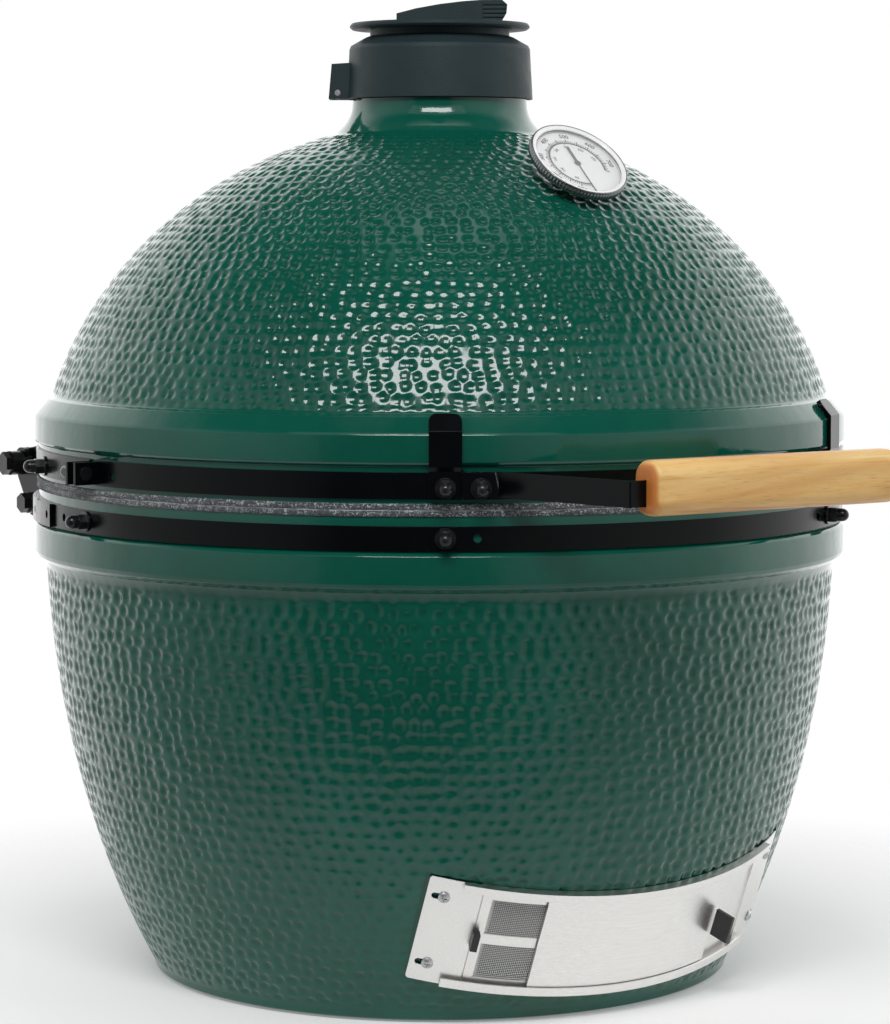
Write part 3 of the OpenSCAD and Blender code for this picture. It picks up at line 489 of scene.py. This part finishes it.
def lathe(name, rings, uv_name=None):
    """A closed turned mesh. Each ring is an array of points at even azimuths; counts may halve or double."""
    points = np.concatenate(rings)
    start = np.cumsum([0] + [len(r) for r in rings])
    middle = [r.mean(0) * [0, 0, 1] + [np.linalg.norm(r[:, :2], axis=1).mean(), 0, 0] for r in rings]
    along = np.cumsum([0] + [np.linalg.norm(middle[i + 1] - middle[i]) for i in range(len(rings) - 1)])
    along = along / along[-1]
    quads, tris, quad_uv, tri_uv = [], [], [], []
    for i in range(len(rings) - 1):
        n, m, a, b = len(rings[i]), len(rings[i + 1]), start[i], start[i + 1]
        v0, v1 = along[i], along[i + 1]
        if n == m and n > 1:
            j = np.arange(n)
            k = (j + 1) % n
            quads.append(np.stack([a + j, a + k, b + k, b + j], 1))
            u0, u1 = j / n, (j + 1) / n
            quad_uv.append(np.stack([np.stack([u0, 0 * u0 + v0], 1), np.stack([u1, 0 * u0 + v0], 1),
                                     np.stack([u1, 0 * u0 + v1], 1), np.stack([u0, 0 * u0 + v1], 1)], 1))
        elif m == 1 or n == 1:
            count = max(n, m)
            j = np.arange(count)
            k = (j + 1) % count
            u0, u1 = j / count, (j + 1) / count
            if m == 1:
                tris.append(np.stack([a + j, a + k, 0 * j + b], 1))
                tri_uv.append(np.stack([np.stack([u0, 0 * u0 + v0], 1), np.stack([u1, 0 * u0 + v0], 1),
                                        np.stack([u0, 0 * u0 + v1], 1)], 1))
            else:
                tris.append(np.stack([0 * j + a, b + k, b + j], 1))
                tri_uv.append(np.stack([np.stack([u0, 0 * u0 + v0], 1), np.stack([u1, 0 * u0 + v1], 1),
                                        np.stack([u0, 0 * u0 + v1], 1)], 1))
        else:
            few, many = min(n, m), max(n, m)
            j = np.arange(few)
            k = (j + 1) % few
            low, up = (a, b) if n == few else (b, a)
            vl, vu = (v0, v1) if n == few else (v1, v0)
            f0, f1, f2 = up + 2 * j, up + 2 * j + 1, up + (2 * j + 2) % many
            c0, c1 = low + j, low + k
            u0, um, u1 = j / few, (j + 0.5) / few, (j + 1) / few

            def corner(u, v):
                return np.stack([u, 0 * u + v], 1)

            groups = [((c0, f1, f0), (corner(u0, vl), corner(um, vu), corner(u0, vu))),
                      ((c0, c1, f1), (corner(u0, vl), corner(u1, vl), corner(um, vu))),
                      ((c1, f2, f1), (corner(u1, vl), corner(u1, vu), corner(um, vu)))]
            for ids, uvs in groups:
                if n != few:
                    ids, uvs = ids[::-1], uvs[::-1]
                tris.append(np.stack(ids, 1))
                tri_uv.append(np.stack(uvs, 1))
    quads = np.concatenate(quads)
    tris = np.concatenate(tris) if tris else np.zeros((0, 3), int)
    mesh = bpy.data.meshes.new(name)
    mesh.vertices.add(len(points))
    mesh.vertices.foreach_set("co", (points * MM).astype(np.float32).ravel())
    loops = np.concatenate([quads.ravel(), tris.ravel()])
    mesh.loops.add(len(loops))
    mesh.loops.foreach_set("vertex_index", loops.astype(np.int32))
    mesh.polygons.add(len(quads) + len(tris))
    begins = np.concatenate([np.arange(len(quads)) * 4, len(quads) * 4 + np.arange(len(tris)) * 3])
    mesh.polygons.foreach_set("loop_start", begins.astype(np.int32))
    mesh.update(calc_edges=True)
    if uv_name:
        layer = mesh.uv_layers.new(name=uv_name)
        parts = [np.concatenate(quad_uv).reshape(-1, 2)]
        if len(tris):
            parts.append(np.concatenate(tri_uv).reshape(-1, 2))
        uv = np.concatenate(parts)
        uv[:, 1] = 0.02 + 0.9 * uv[:, 1]
        layer.data.foreach_set("uv", uv.astype(np.float32).ravel())
    mesh.shade_smooth()
    return mesh


def ring(r, z, count):
    a = np.arange(count) * 2 * math.pi / count
    return np.stack([r * np.cos(a), r * np.sin(a), z + 0 * a], 1)


# ---- glazed ceramic shells ----


class Pits:
    """Hammered pits in rows round a turned surface, each a little off its place, size and depth."""

    def __init__(self, radius_at, start, end, pitch, depth, seed):
        self.pitch, self.start, self.end, self.depth = pitch, start, end, depth
        self.row = 0.86 * pitch
        rng = np.random.default_rng(seed)
        self.rows = []
        phase = 0.0
        for k in range(-1, int((end - start) / self.row) + 2):
            s = start + k * self.row
            count = max(12, round(2 * math.pi * radius_at(s) / pitch))
            phase += math.pi / count * rng.uniform(0.7, 1.3)
            self.rows.append((s, count, phase, rng.uniform(-0.22, 0.22, count), rng.uniform(-0.16, 0.16, count),
                              rng.uniform(0.82, 1.12, count), rng.uniform(0.7, 1.12, count),
                              rng.uniform(0.86, 1.16, count)))

    def at(self, s, r, azimuths):
        """Depth of the pits as a share of the full depth, along one ring."""
        best = np.zeros(len(azimuths))
        near = int((s - self.start) / self.row) + 1
        for k in (near - 1, near, near + 1):
            if not 0 <= k < len(self.rows):
                continue
            row_s, count, phase, dx, ds, size, deep, oval = self.rows[k]
            t = (azimuths - phase) / (2 * math.pi) * count
            for step in (0, 1):
                index = np.floor(t).astype(int) + step
                i = index % count
                across = (t - index - dx[i]) * 2 * math.pi * r / count
                up = s - row_s - ds[i] * self.pitch
                reach = 0.45 * self.pitch * size[i]
                d2 = (across / (reach * oval[i])) ** 2 + (up * oval[i] / reach) ** 2
                best = np.maximum(best, deep[i] * np.clip(1 - d2, 0, 1) ** 1.12)
        edge = min(s - self.start, self.end - s)
        return best * max(0.0, min(1.0, edge / 2.5))


def curve_samples(radius_of_z, z0, z1, step):
    """Points (r, z) along a curved wall at even arc length, with the arc length and outward normal of each."""
    z = np.linspace(z0, z1, 900)
    r = np.array([radius_of_z(v) for v in z])
    s = np.concatenate([[0], np.cumsum(np.hypot(np.diff(r), np.diff(z)))])
    count = max(2, round(s[-1] / step))
    even = np.linspace(0, s[-1], count + 1)
    zi, ri = np.interp(even, s, z), np.interp(even, s, r)
    dr, dz = np.gradient(ri, even), np.gradient(zi, even)
    return ri, zi, even, dz, -dr


def dimpled_rings(samples, pits, columns_at):
    """Rings of a dimpled wall, and each vertex's share of pit depth."""
    rings, shares = [], []
    for r, z, s, nr, nz in zip(*samples):
        count = columns_at(r)
        a = np.arange(count) * 2 * math.pi / count
        share = pits.at(s, r, a)
        sink = share * pits.depth
        rings.append(np.stack([(r - sink * nr) * np.cos(a), (r - sink * nr) * np.sin(a), z - sink * nz], 1))
        shares.append(share)
    return rings, shares


def plain_rings(points, columns):
    rings = [ring(r, z, columns) for r, z in points]
    return rings, [np.zeros(columns) for _ in rings]


def step_columns(rings_shares, start, end):
    """Doubles or halves the column count over the first rings, until it reaches the rest's count."""
    rings, shares = rings_shares
    i, count = 0, start
    while count != end and i < len(rings):
        count = count // 2 if count > end else count * 2
        r, z = np.linalg.norm(rings[i][0, :2]), rings[i][0, 2]
        rings[i], shares[i] = ring(r, z, count), np.zeros(count)
        i += 1
    return rings, shares


def shell_object(name, parts, body, stands_for):
    rings, shares = [], []
    for part_rings, part_shares in parts:
        rings += part_rings
        shares += part_shares
    mesh = lathe(name, rings, "OFBake")
    pit = mesh.attributes.new("pit", "FLOAT", "POINT")
    pit.data.foreach_set("value", np.concatenate(shares).astype(np.float32))
    outward_faces(mesh)
    return finish_object(mesh, name, body, "glazed_ceramic", stands_for)


def base_r(z):
    return BASE_A * math.sqrt(1 - ((z - BASE_Z) / BASE_B) ** 2)


def dome_r(z):
    return DOME_A * math.sqrt(1 - ((z - DOME_Z) / DOME_B) ** 2)


def make_base():
    samples = curve_samples(base_r, 8, BASE_LIP_Z, 1.7 / DETAIL)
    length = samples[2][-1]
    pits = Pits(lambda s: np.interp(s, samples[2], samples[0]), 4, length - 1, 12.6, 1.5, 5)
    wall = dimpled_rings(samples, pits, lambda r: COLUMNS)
    foot = fillet([(30, 0), (236, 0), (244, 2.5), (245.1, 8)], 3)[:-1]
    lips = fillet([(base_r(BASE_LIP_Z), BASE_LIP_Z), (335.9, 350), (340.9, 354), (LIP, 357.5), (LIP, 378.5),
                   (LIP - 1.5, 380.4), (RECESS, 381.6), (RECESS, RIM_Z), (CAVITY, RIM_Z), (CAVITY, 372)],
                  1.8, 4)[1:]
    inner = [(base_r(z) - WALL, z) for z in np.linspace(340, FLOOR_Z + 16, 24)]
    floor = [(base_r(FLOOR_Z + 16) - WALL - 14, FLOOR_Z), (60, FLOOR_Z)]
    under = step_columns(plain_rings(foot, COLUMNS), INSIDE_COLUMNS // 2, COLUMNS)
    inside = step_columns(plain_rings(inner + floor, INSIDE_COLUMNS), COLUMNS, INSIDE_COLUMNS)
    foot_middle = ([ring(0, 0, 1)], [np.zeros(1)])
    floor_middle = ([ring(0, FLOOR_Z, 1)], [np.zeros(1)])
    body = shell_object("base_body", [foot_middle, under, wall, plain_rings(lips, COLUMNS), inside, floor_middle],
                        "base", "base_shell")
    cut_away(body, wedge("window", DOOR_R - 70, DOOR_R + 10, (-34, 34), 25.5, DOOR_POSE),
             wedge("seat", DOOR_R - 1.6, DOOR_R + 30, (-48.5, 48.5), 36.3, DOOR_POSE))


def make_dome():
    samples = curve_samples(dome_r, DOME_LIP_Z, NECK_Z, 1.5 / DETAIL)
    length = samples[2][-1]
    pits = Pits(lambda s: np.interp(s, samples[2], samples[0]), 1, length - 2, 11.2, 1.4, 11)
    half_r = 168
    wall = dimpled_rings(samples, pits, lambda r: COLUMNS if r > half_r else COLUMNS // 2)
    lips = fillet([(CAVITY, DOME_RIM_Z), (RECESS, DOME_RIM_Z), (RECESS, 446.6), (LIP - 1.4, 448), (LIP, 449.8),
                   (LIP, 470), (LIP - 1.2, 472), (331.5, 483.6), (328.5, 485), (dome_r(DOME_LIP_Z), DOME_LIP_Z)],
                  1.8, 4)[:-1]
    flare = [(NECK + (dome_r(NECK_Z) - NECK) * (1 - share) ** 2.6, NECK_Z + (NECK_TOP_Z - NECK_Z) * share)
             for share in np.linspace(0, 1, 14)]
    neck = flare[1:] + fillet([flare[-1], (SPIGOT, NECK_TOP_Z + 1), (SPIGOT, SPIGOT_TOP_Z), (FLUE, SPIGOT_TOP_Z),
                               (FLUE, 694), (64, 686)], 1.2, 4)[1:]
    inner = [((DOME_A - WALL - 2) * math.sqrt(1 - ((z - DOME_Z) / (DOME_B - WALL)) ** 2), z)
             for z in np.linspace(682, DOME_RIM_Z + 30, 26)]
    inside = step_columns(plain_rings(inner, INSIDE_COLUMNS), COLUMNS // 2, INSIDE_COLUMNS)
    last = step_columns(plain_rings([(CAVITY + 1, DOME_RIM_Z + 24), (CAVITY + 0.6, DOME_RIM_Z + 18),
                                     (CAVITY + 0.3, DOME_RIM_Z + 12)], COLUMNS), INSIDE_COLUMNS, COLUMNS)
    parts = [plain_rings(lips, COLUMNS), wall, plain_rings(neck, COLUMNS // 2), inside, last]
    rings = sum((list(p[0]) for p in parts), [])
    shares = sum((list(p[1]) for p in parts), [])
    rings.append(rings[0])
    shares.append(shares[0])
    body = shell_object("dome_body", [(rings, shares)], "dome", "dome_shell")
    close_seam(body.data, len(rings[0]))
    bore = lathe("bore", [ring(0, -60, 1), ring(6.5, -60, 48), ring(6.5, 20, 48), ring(0, 20, 1)])
    bore.transform(THERMO_POSE)
    outward_faces(bore)
    cut_away(body, bore)


def close_seam(mesh, count):
    """Welds the last ring of a ring-shaped mesh onto its first."""
    work = bmesh.new()
    work.from_mesh(mesh)
    work.verts.ensure_lookup_table()
    total = len(work.verts)
    pairs = {work.verts[total - count + i]: work.verts[i] for i in range(count)}
    bmesh.ops.weld_verts(work, targetmap=pairs)
    work.to_mesh(mesh)
    work.free()


DOOR_R, DOOR_TILT, DOOR_Z = 295, 22.85, 63.5
DOOR_POSE = (Matrix.Translation((0, 0, (DOOR_Z + DOOR_R * math.sin(math.radians(DOOR_TILT))) * MM))
             @ Matrix.Rotation(math.radians(DOOR_TILT), 4, "X"))
THERMO_R, THERMO_RISE = 183.4, 48
THERMO_Z = DOME_Z + DOME_B * math.sqrt(1 - (THERMO_R / DOME_A) ** 2)
THERMO_POSE = (Matrix.Translation((0, -THERMO_R * MM, THERMO_Z * MM))
               @ Matrix.Rotation(math.radians(90 - THERMO_RISE), 4, "X"))


def wedge(name, inner, outer, t, half_angle, pose):
    """A closed block between two radii, two heights and two azimuths either side of the front."""
    angles = np.radians(np.linspace(-half_angle, half_angle, 49))
    points = [(r * math.sin(a) * MM, -r * math.cos(a) * MM, z * MM)
              for a in angles for r, z in ((inner, t[0]), (outer, t[0]), (outer, t[1]), (inner, t[1]))]
    faces = [(4 * i + k, 4 * i + 4 + k, 4 * i + 4 + (k + 1) % 4, 4 * i + (k + 1) % 4)
             for i in range(len(angles) - 1) for k in range(4)]
    faces += [(0, 1, 2, 3), tuple(len(points) - 1 - k for k in range(4))]
    mesh = mesh_from(name, points, faces, smooth=False)
    mesh.transform(pose)
    outward_faces(mesh)
    return mesh


def outward_faces(mesh):
    work = bmesh.new()
    work.from_mesh(mesh)
    bmesh.ops.recalc_face_normals(work, faces=work.faces)
    work.to_mesh(mesh)
    work.free()


def cut_away(obj, *cutters):
    """Cuts closed meshes out of an object and applies it. Where the object has its own texture layout, the cut
    faces take the strip of it that the lathe leaves free."""
    for mesh in cutters:
        if "OFBake" in obj.data.uv_layers:
            layer = mesh.uv_layers.new(name="OFBake")
            count = len(mesh.loops)
            spot = np.stack([0.01 + 0.98 * np.arange(count) / count, 0.94 + 0.05 * (np.arange(count) % 7) / 7], 1)
            layer.data.foreach_set("uv", spot.astype(np.float32).ravel())
        if "pit" in obj.data.attributes:
            pit = mesh.attributes.new("pit", "FLOAT", "POINT")
            pit.data.foreach_set("value", np.zeros(len(mesh.vertices), np.float32))
        tool = bpy.data.objects.new(mesh.name, mesh)
        scene.collection.objects.link(tool)
        cut = obj.modifiers.new(mesh.name, "BOOLEAN")
        cut.operation = "DIFFERENCE"
        cut.solver = "MANIFOLD"
        cut.object = tool
        shape = obj.evaluated_get(bpy.context.evaluated_depsgraph_get())
        fresh = bpy.data.meshes.new_from_object(shape)
        obj.modifiers.clear()
        obj.data = fresh
        bpy.data.objects.remove(tool)
    obj.data.set_sharp_from_angle(angle=math.radians(50))


# ---- gaskets, springs and spark mesh ----


def make_gasket(name, z, meets, seed):
    """A felt ring between two heights; its outer face bulges over the edge of the ceramic it is glued to."""
    rng = np.random.default_rng(seed)
    columns = 1440
    a = np.arange(columns) * 2 * math.pi / columns
    wave = sum(rng.uniform(0.04, 0.12) * np.sin(k * a + rng.uniform(0, 6.3)) for k in (5, 9, 14, 23, 37))
    low, high = z
    lower, upper = (low, high + 1.7) if meets == "below" else (low - 1.7, high)
    middle, half = (lower + upper) / 2, (upper - lower) / 2
    outline = [(312, low), (337, low)]
    if meets == "above":
        outline.append((338.2, low - 0.2))
    outline += [(338.2 + 1.5 * math.cos(t), middle + half * math.sin(t)) for t in np.linspace(-1.4, 1.4, 11)]
    if meets == "below":
        outline.append((338.2, high + 0.2))
    outline += [(337, high), (312, high), (311, high - 0.4), (311, low + 0.4)]
    rings = []
    for r, height in outline:
        loose = r > 337.5
        fuzz = rng.normal(0, 0.17, columns) if loose else 0
        sag = rng.normal(0, 0.12, columns) if loose else 0
        out = r + (wave + fuzz if loose else 0)
        rings.append(np.stack([out * np.cos(a), out * np.sin(a), height + 0 * a + sag], 1))
    rings.append(rings[0].copy())
    mesh = lathe(name, rings, "OFBake")
    close_seam(mesh, columns)
    outward_faces(mesh)
    return mesh


def tube_along(points, radius, sides=8, first_side=None):
    """Corner points and faces of a round wire that follows a line of points."""
    points = np.asarray(points, float)
    ahead = np.gradient(points, axis=0)
    ahead /= np.linalg.norm(ahead, axis=1)[:, None]
    side = np.array(first_side if first_side is not None else (0, 0, 1), float)
    corners = []
    for point, along in zip(points, ahead):
        side = side - along * (side @ along)
        side /= np.linalg.norm(side)
        other = np.cross(along, side)
        turn = np.arange(sides) * 2 * math.pi / sides
        corners.append(point + radius * (np.cos(turn)[:, None] * side + np.sin(turn)[:, None] * other))
    count = len(points)
    faces = [(i * sides + k, i * sides + (k + 1) % sides, (i + 1) * sides + (k + 1) % sides, (i + 1) * sides + k)
             for i in range(count - 1) for k in range(sides)]
    faces += [tuple(range(sides))[::-1], tuple((count - 1) * sides + k for k in range(sides))]
    return np.concatenate(corners), faces


def joined(name, shapes, pose=None):
    """One mesh from several lists of points in mm and faces."""
    points, faces, start = [], [], 0
    for shape_points, shape_faces in shapes:
        points.append(np.asarray(shape_points, float) * MM)
        faces += [tuple(start + i for i in face) for face in shape_faces]
        start += len(shape_points)
    mesh = mesh_from(name, np.concatenate(points), faces)
    if pose is not None:
        mesh.transform(pose)
    outward_faces(mesh)
    mesh.set_sharp_from_angle(angle=math.radians(45))
    return mesh


def make_springs():
    """A pair of torsion springs on the hinge shaft, each ending in a straight leg under the lower rod."""
    coil_r, wire, turns, leg = 13, 2.2, 12, 34
    inner_end, coil_length = 70, 102
    rod_r, rod_gap = 5, 0.1
    pivot = np.array([0, 400, 410])
    rod = np.array([378, 375])
    down = rod - pivot[1:]
    leg_angle = math.atan2(down[1], down[0]) + math.acos((coil_r - rod_r - wire - rod_gap) / np.linalg.norm(down))
    shapes = []
    for side in (-1, 1):
        i = np.linspace(0, 1, turns * 20 + 1)
        angle = leg_angle + 2 * math.pi * turns * (1 - i)
        line = np.stack([inner_end + coil_length * i, coil_r * np.cos(angle), coil_r * np.sin(angle)], 1)
        end = line[-1] + [0, leg * math.sin(leg_angle), -leg * math.cos(leg_angle)]
        line = np.concatenate([line, [line[-1] * 0.7 + end * 0.3, end]])
        line[:, 0] *= side
        shapes.append(tube_along(line + pivot, wire, 12, (1, 0, 0)))
    return joined("springs", shapes)


def make_spark_mesh():
    """Fine woven wire cloth behind the draft door's two windows."""
    wire, pitch, weave, r = 0.27, 1.55, 0.17, 295.9
    start, end = -25.4, 5.2
    across = int(math.radians(end - start) * r / pitch)
    shapes = []
    for low, high in ((4.7, 35.3), (-35.3, -4.7)):
        up = int((high - low) / pitch)
        heights = np.linspace(low, high, up + 1)
        angles = np.radians(np.linspace(start, end, across + 1))

        def place(angle, height, over):
            out = r + weave * over
            return np.stack([out * np.sin(angle), -out * np.cos(angle), height + 0 * angle], 1)

        for i, angle in enumerate(angles):
            over = (-1.0) ** (i + np.arange(up + 1))
            shapes.append(tube_along(place(angle + 0 * heights, heights, over), wire, 4, (1, 0, 0)))
        for j, height in enumerate(heights):
            over = -((-1.0) ** (j + np.arange(across + 1)))
            shapes.append(tube_along(place(angles, height, over), wire, 4))
    mesh = joined("spark_wires", shapes)
    unroll(mesh)
    mesh.transform(DOOR_POSE)
    return mesh


def unroll(mesh):
    """A texture layout for a curved sheet: azimuth across, height up."""
    points = np.empty(len(mesh.vertices) * 3, np.float32)
    mesh.vertices.foreach_get("co", points)
    points = points.reshape(-1, 3)
    flat = np.stack([np.arctan2(points[:, 0], -points[:, 1]), points[:, 2]], 1)
    flat = 0.02 + 0.96 * (flat - flat.min(0)) / (flat.max(0) - flat.min(0))
    corners = np.empty(len(mesh.loops), np.int32)
    mesh.loops.foreach_get("vertex_index", corners)
    layer = mesh.uv_layers.new(name="OFBake")
    layer.data.foreach_set("uv", flat[corners].astype(np.float32).ravel())


# ---- handle ----


def make_handle():
    """Wooden bar: a rounded section whose ends are rounded over, slotted for the two straps."""
    low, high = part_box("handle")
    centre, half = (low + high) / 2 / MM, (high - low) / 2 / MM
    corner, end = 13, 7
    rings = []
    places = [(-half.x + end * (1 - math.cos(t)), end * (1 - math.sin(t))) for t in np.linspace(0, math.pi / 2, 8)]
    places += [(x, 0) for x in np.linspace(-half.x + end + 8, half.x - end - 8, 22)]
    places += [(-x, inset) for x, inset in places[:8]][::-1]
    turn = np.linspace(0, math.pi / 2, 9)
    for x, inset in places:
        r = corner - inset
        quarter = []
        for k, (sy, sz) in enumerate(((1, 1), (-1, 1), (-1, -1), (1, -1))):
            t = turn + k * math.pi / 2
            quarter += [(x + centre.x, centre.y + sy * (half.y - corner) + r * math.cos(v),
                         centre.z + sz * (half.z - corner) + r * math.sin(v)) for v in t]
        rings.append(np.array(quarter))
    count = len(rings[0])
    points = np.concatenate([[(rings[0][:, 0].mean(), centre.y, centre.z)], *rings,
                             [(rings[-1][:, 0].mean(), centre.y, centre.z)]])
    faces = [(1 + i * count + k, 1 + i * count + (k + 1) % count, 1 + (i + 1) * count + (k + 1) % count,
              1 + (i + 1) * count + k) for i in range(len(rings) - 1) for k in range(count)]
    last = len(points) - 1
    faces += [(0, 1 + (k + 1) % count, 1 + k) for k in range(count)]
    faces += [(last, last - count + k, last - count + (k + 1) % count) for k in range(count)]
    obj = finish_object(joined("handle_bar", [(points, faces)]), "handle_bar", "dome", "light_wood", "handle")
    slots = []
    for strap in ("handle_strap_left", "handle_strap_right"):
        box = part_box(strap)
        side = -1 if strap.endswith("left") else 1
        x = side * half.x
        slots.append(block("slot", (x - 16.5, centre.y - 1.7, box[0].z / MM - 0.2),
                           (x + 16.5, centre.y + 1.7, box[1].z / MM + 0.2)))
    cut_away(obj, *slots)


def block(name, low, high):
    corners = [(x, y, z) for z in (low[2], high[2]) for y in (low[1], high[1]) for x in (low[0], high[0])]
    faces = [(0, 2, 3, 1), (4, 5, 7, 6), (0, 1, 5, 4), (2, 6, 7, 3), (0, 4, 6, 2), (1, 3, 7, 5)]
    return joined(name, [(corners, faces)])


# ---- thermometer ----

DIAL_TOP = 16.7      # height of the dial's face along the stem
DIAL_SWEEP = 290     # degrees that the scales cover


def dial_ring(name, outline, teeth=0):
    """A closed ring round the dial, from radii and heights; its outermost points can carry grip teeth."""
    columns = 720
    a = np.arange(columns) * 2 * math.pi / columns
    widest = max(r for r, z in outline)
    ripple = 0.3 * np.cos(a * teeth) if teeth else 0 * a
    rings = []
    for r, z in outline:
        out = r + (ripple if widest - r < 0.05 else 0 * a)
        rings.append(np.stack([out * np.cos(a), out * np.sin(a), z + 0 * a], 1))
    rings.append(rings[0].copy())
    mesh = lathe(name, rings, "OFBake")
    close_seam(mesh, columns)
    outward_faces(mesh)
    mesh.transform(THERMO_POSE)
    return mesh


def make_bezel():
    """Grip band with coarse teeth and a thin raised rim."""
    return dial_ring("bezel", [(40.5, 14.4), (41.3, 14.4), (41.7, 14.8), (41.7, 19.6), (41.2, 20.1), (41.5, 20.6),
                               (41.5, 21.3), (41.2, 21.6), (40.6, 21.6), (40.4, 21.3), (40.4, 20.0)], 90)


def make_dial_edge():
    """White ring that slopes from the glass up to the rim."""
    return dial_ring("dial_edge", [(37.0, 19.7), (37.0, 20.1), (38.2, 21.0), (40.35, 21.45), (40.5, 21.3),
                                   (40.5, 19.7)])


def flat_arc(inner, outer, start, end, z, t, pieces):
    """A thin curved strip lying on the dial; angles in degrees."""
    angles = np.radians(np.linspace(start, end, pieces + 1))
    points = [(r * math.cos(a), r * math.sin(a), height)
              for a in angles for r, height in ((inner, z), (outer, z), (outer, z + t), (inner, z + t))]
    faces = [(4 * i + k, 4 * i + 4 + k, 4 * i + 4 + (k + 1) % 4, 4 * i + (k + 1) % 4)
             for i in range(pieces) for k in range(4)]
    faces += [(0, 1, 2, 3), tuple(len(points) - 1 - k for k in range(4))]
    return points, faces


def number(value, size, radius, angle, z, t):
    """A printed number, its top pointing out from the middle of the dial."""
    curve = bpy.data.curves.new("number", "FONT")
    curve.body = str(value)
    curve.size = size
    curve.align_x = curve.align_y = "CENTER"
    curve.extrude = t / 2
    curve.offset = 0.022 * size
    curve.resolution_u = 3
    obj = bpy.data.objects.new("number", curve)
    scene.collection.objects.link(obj)
    mesh = bpy.data.meshes.new_from_object(obj.evaluated_get(bpy.context.evaluated_depsgraph_get()))
    turn = (Matrix.Rotation(math.radians(angle), 4, "Z") @ Matrix.Translation((radius, 0, z + t / 2))
            @ Matrix.Rotation(math.radians(-90), 4, "Z"))
    points = [tuple(turn @ v.co) for v in mesh.vertices]
    faces = [tuple(p.vertices) for p in mesh.polygons]
    bpy.data.objects.remove(obj)
    bpy.data.meshes.remove(mesh)
    bpy.data.curves.remove(curve)
    return points, faces


def make_dial_print():
    """Two scales in Fahrenheit and Celsius; they start where the needle rests, at the bottom."""
    z, t = DIAL_TOP + 0.01, 0.07

    def angle_of(share):
        return -90 - DIAL_SWEEP * share

    shapes = [flat_arc(23.6, 25.2, angle_of(0), angle_of(1), z, t, 116),
              flat_arc(36.9, 37.2, 0, 359.5, z, t, 120)]
    for i in range(71):
        share = i / 70
        long = i % 5 == 0
        width = 1.2 if long else 0.8
        shapes.append(flat_arc(25.2, 28.6 if long else 27.4, angle_of(share) - width, angle_of(share) + width,
                               z, t, 1))
    for value in range(100, 701, 100):
        shapes.append(number(value, 5.9, 32.2, angle_of((value - 50) / 700), z, t))
    for value in range(50, 351, 50):
        share = (value * 1.8 + 32 - 50) / 700
        shapes.append(number(value, 3.6, 19.6, angle_of(share), z, t))
        shapes.append(flat_arc(22.4, 23.5, angle_of(share) - 0.6, angle_of(share) + 0.6, z, t, 1))
    return joined("dial_print", shapes, THERMO_POSE)


# ---- build ----

make_camera()
studio()

SLOTS = {
    "fire_box": "fire_clay", "fire_ring": "fire_clay", "fire_grate": "cast_iron", "cooking_grid": "grid_steel",
    "base_gasket": "felt", "dome_gasket": "felt", "lower_band": "black_steel", "upper_band": "black_steel",
    "lower_band_bolts": "black_fasteners", "upper_band_bolts": "black_fasteners",
    "band_clamp_bolts": "black_fasteners", "hinge_base_bracket": "black_steel", "hinge_dome_bracket": "black_steel",
    "hinge_lower_rod": "black_fasteners", "hinge_shaft": "black_fasteners", "hinge_spacers": "black_fasteners",
    "hinge_springs": "spring_steel", "door_frame": "stainless", "door_frame_screws": "plain_steel",
    "door_panel": "stainless", "door_panel_grip": "black_grip", "screen_frame": "stainless",
    "screen_mesh": "spark_mesh", "screen_grip": "black_grip", "dome_tab_left": "black_steel",
    "dome_tab_right": "black_steel", "handle_strap_left": "black_steel", "handle_strap_right": "black_steel",
    "handle": "light_wood", "thermometer_case": "bezel_steel", "thermometer_dial": "dial_face",
    "thermometer_glass": "dial_glass", "thermometer_clip": "plain_steel", "thermometer_needle": "needle_black",
    "neck_collar": "cast_cap", "vent_cap": "cast_cap", "vent_cap_pin": "plain_steel", "vent_disc": "cast_cap",
    "vent_disc_bolt": "plain_steel", "base_shell": "glazed_ceramic", "dome_shell": "glazed_ceramic",
}
for node_name, slot_name in SLOTS.items():
    node_mesh = nodes[node_name].data
    node_mesh.materials.clear()
    node_mesh.materials.append(MATERIALS[slot_name])

make_base()
make_dome()
for gasket, body_name, meets, seed in (("base_gasket", "base", "above", 3), ("dome_gasket", "dome", "below", 4)):
    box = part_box(gasket)
    felt = make_gasket(gasket + "_felt", (box[0].z / MM, box[1].z / MM), meets, seed)
    finish_object(felt, gasket + "_felt", body_name, "felt", gasket)
finish_object(make_springs(), "spring_pair", "base", "spring_steel", "hinge_springs")
finish_object(make_spark_mesh(), "spark_wires", "spark_screen", "spark_mesh", "screen_mesh")
make_handle()
finish_object(make_bezel(), "bezel_ring", "dome", "bezel_steel")
finish_object(make_dial_edge(), "dial_edge", "dome", "dial_face")
finish_object(make_dial_print(), "dial_print", "dome", "needle_black")

make_floor()
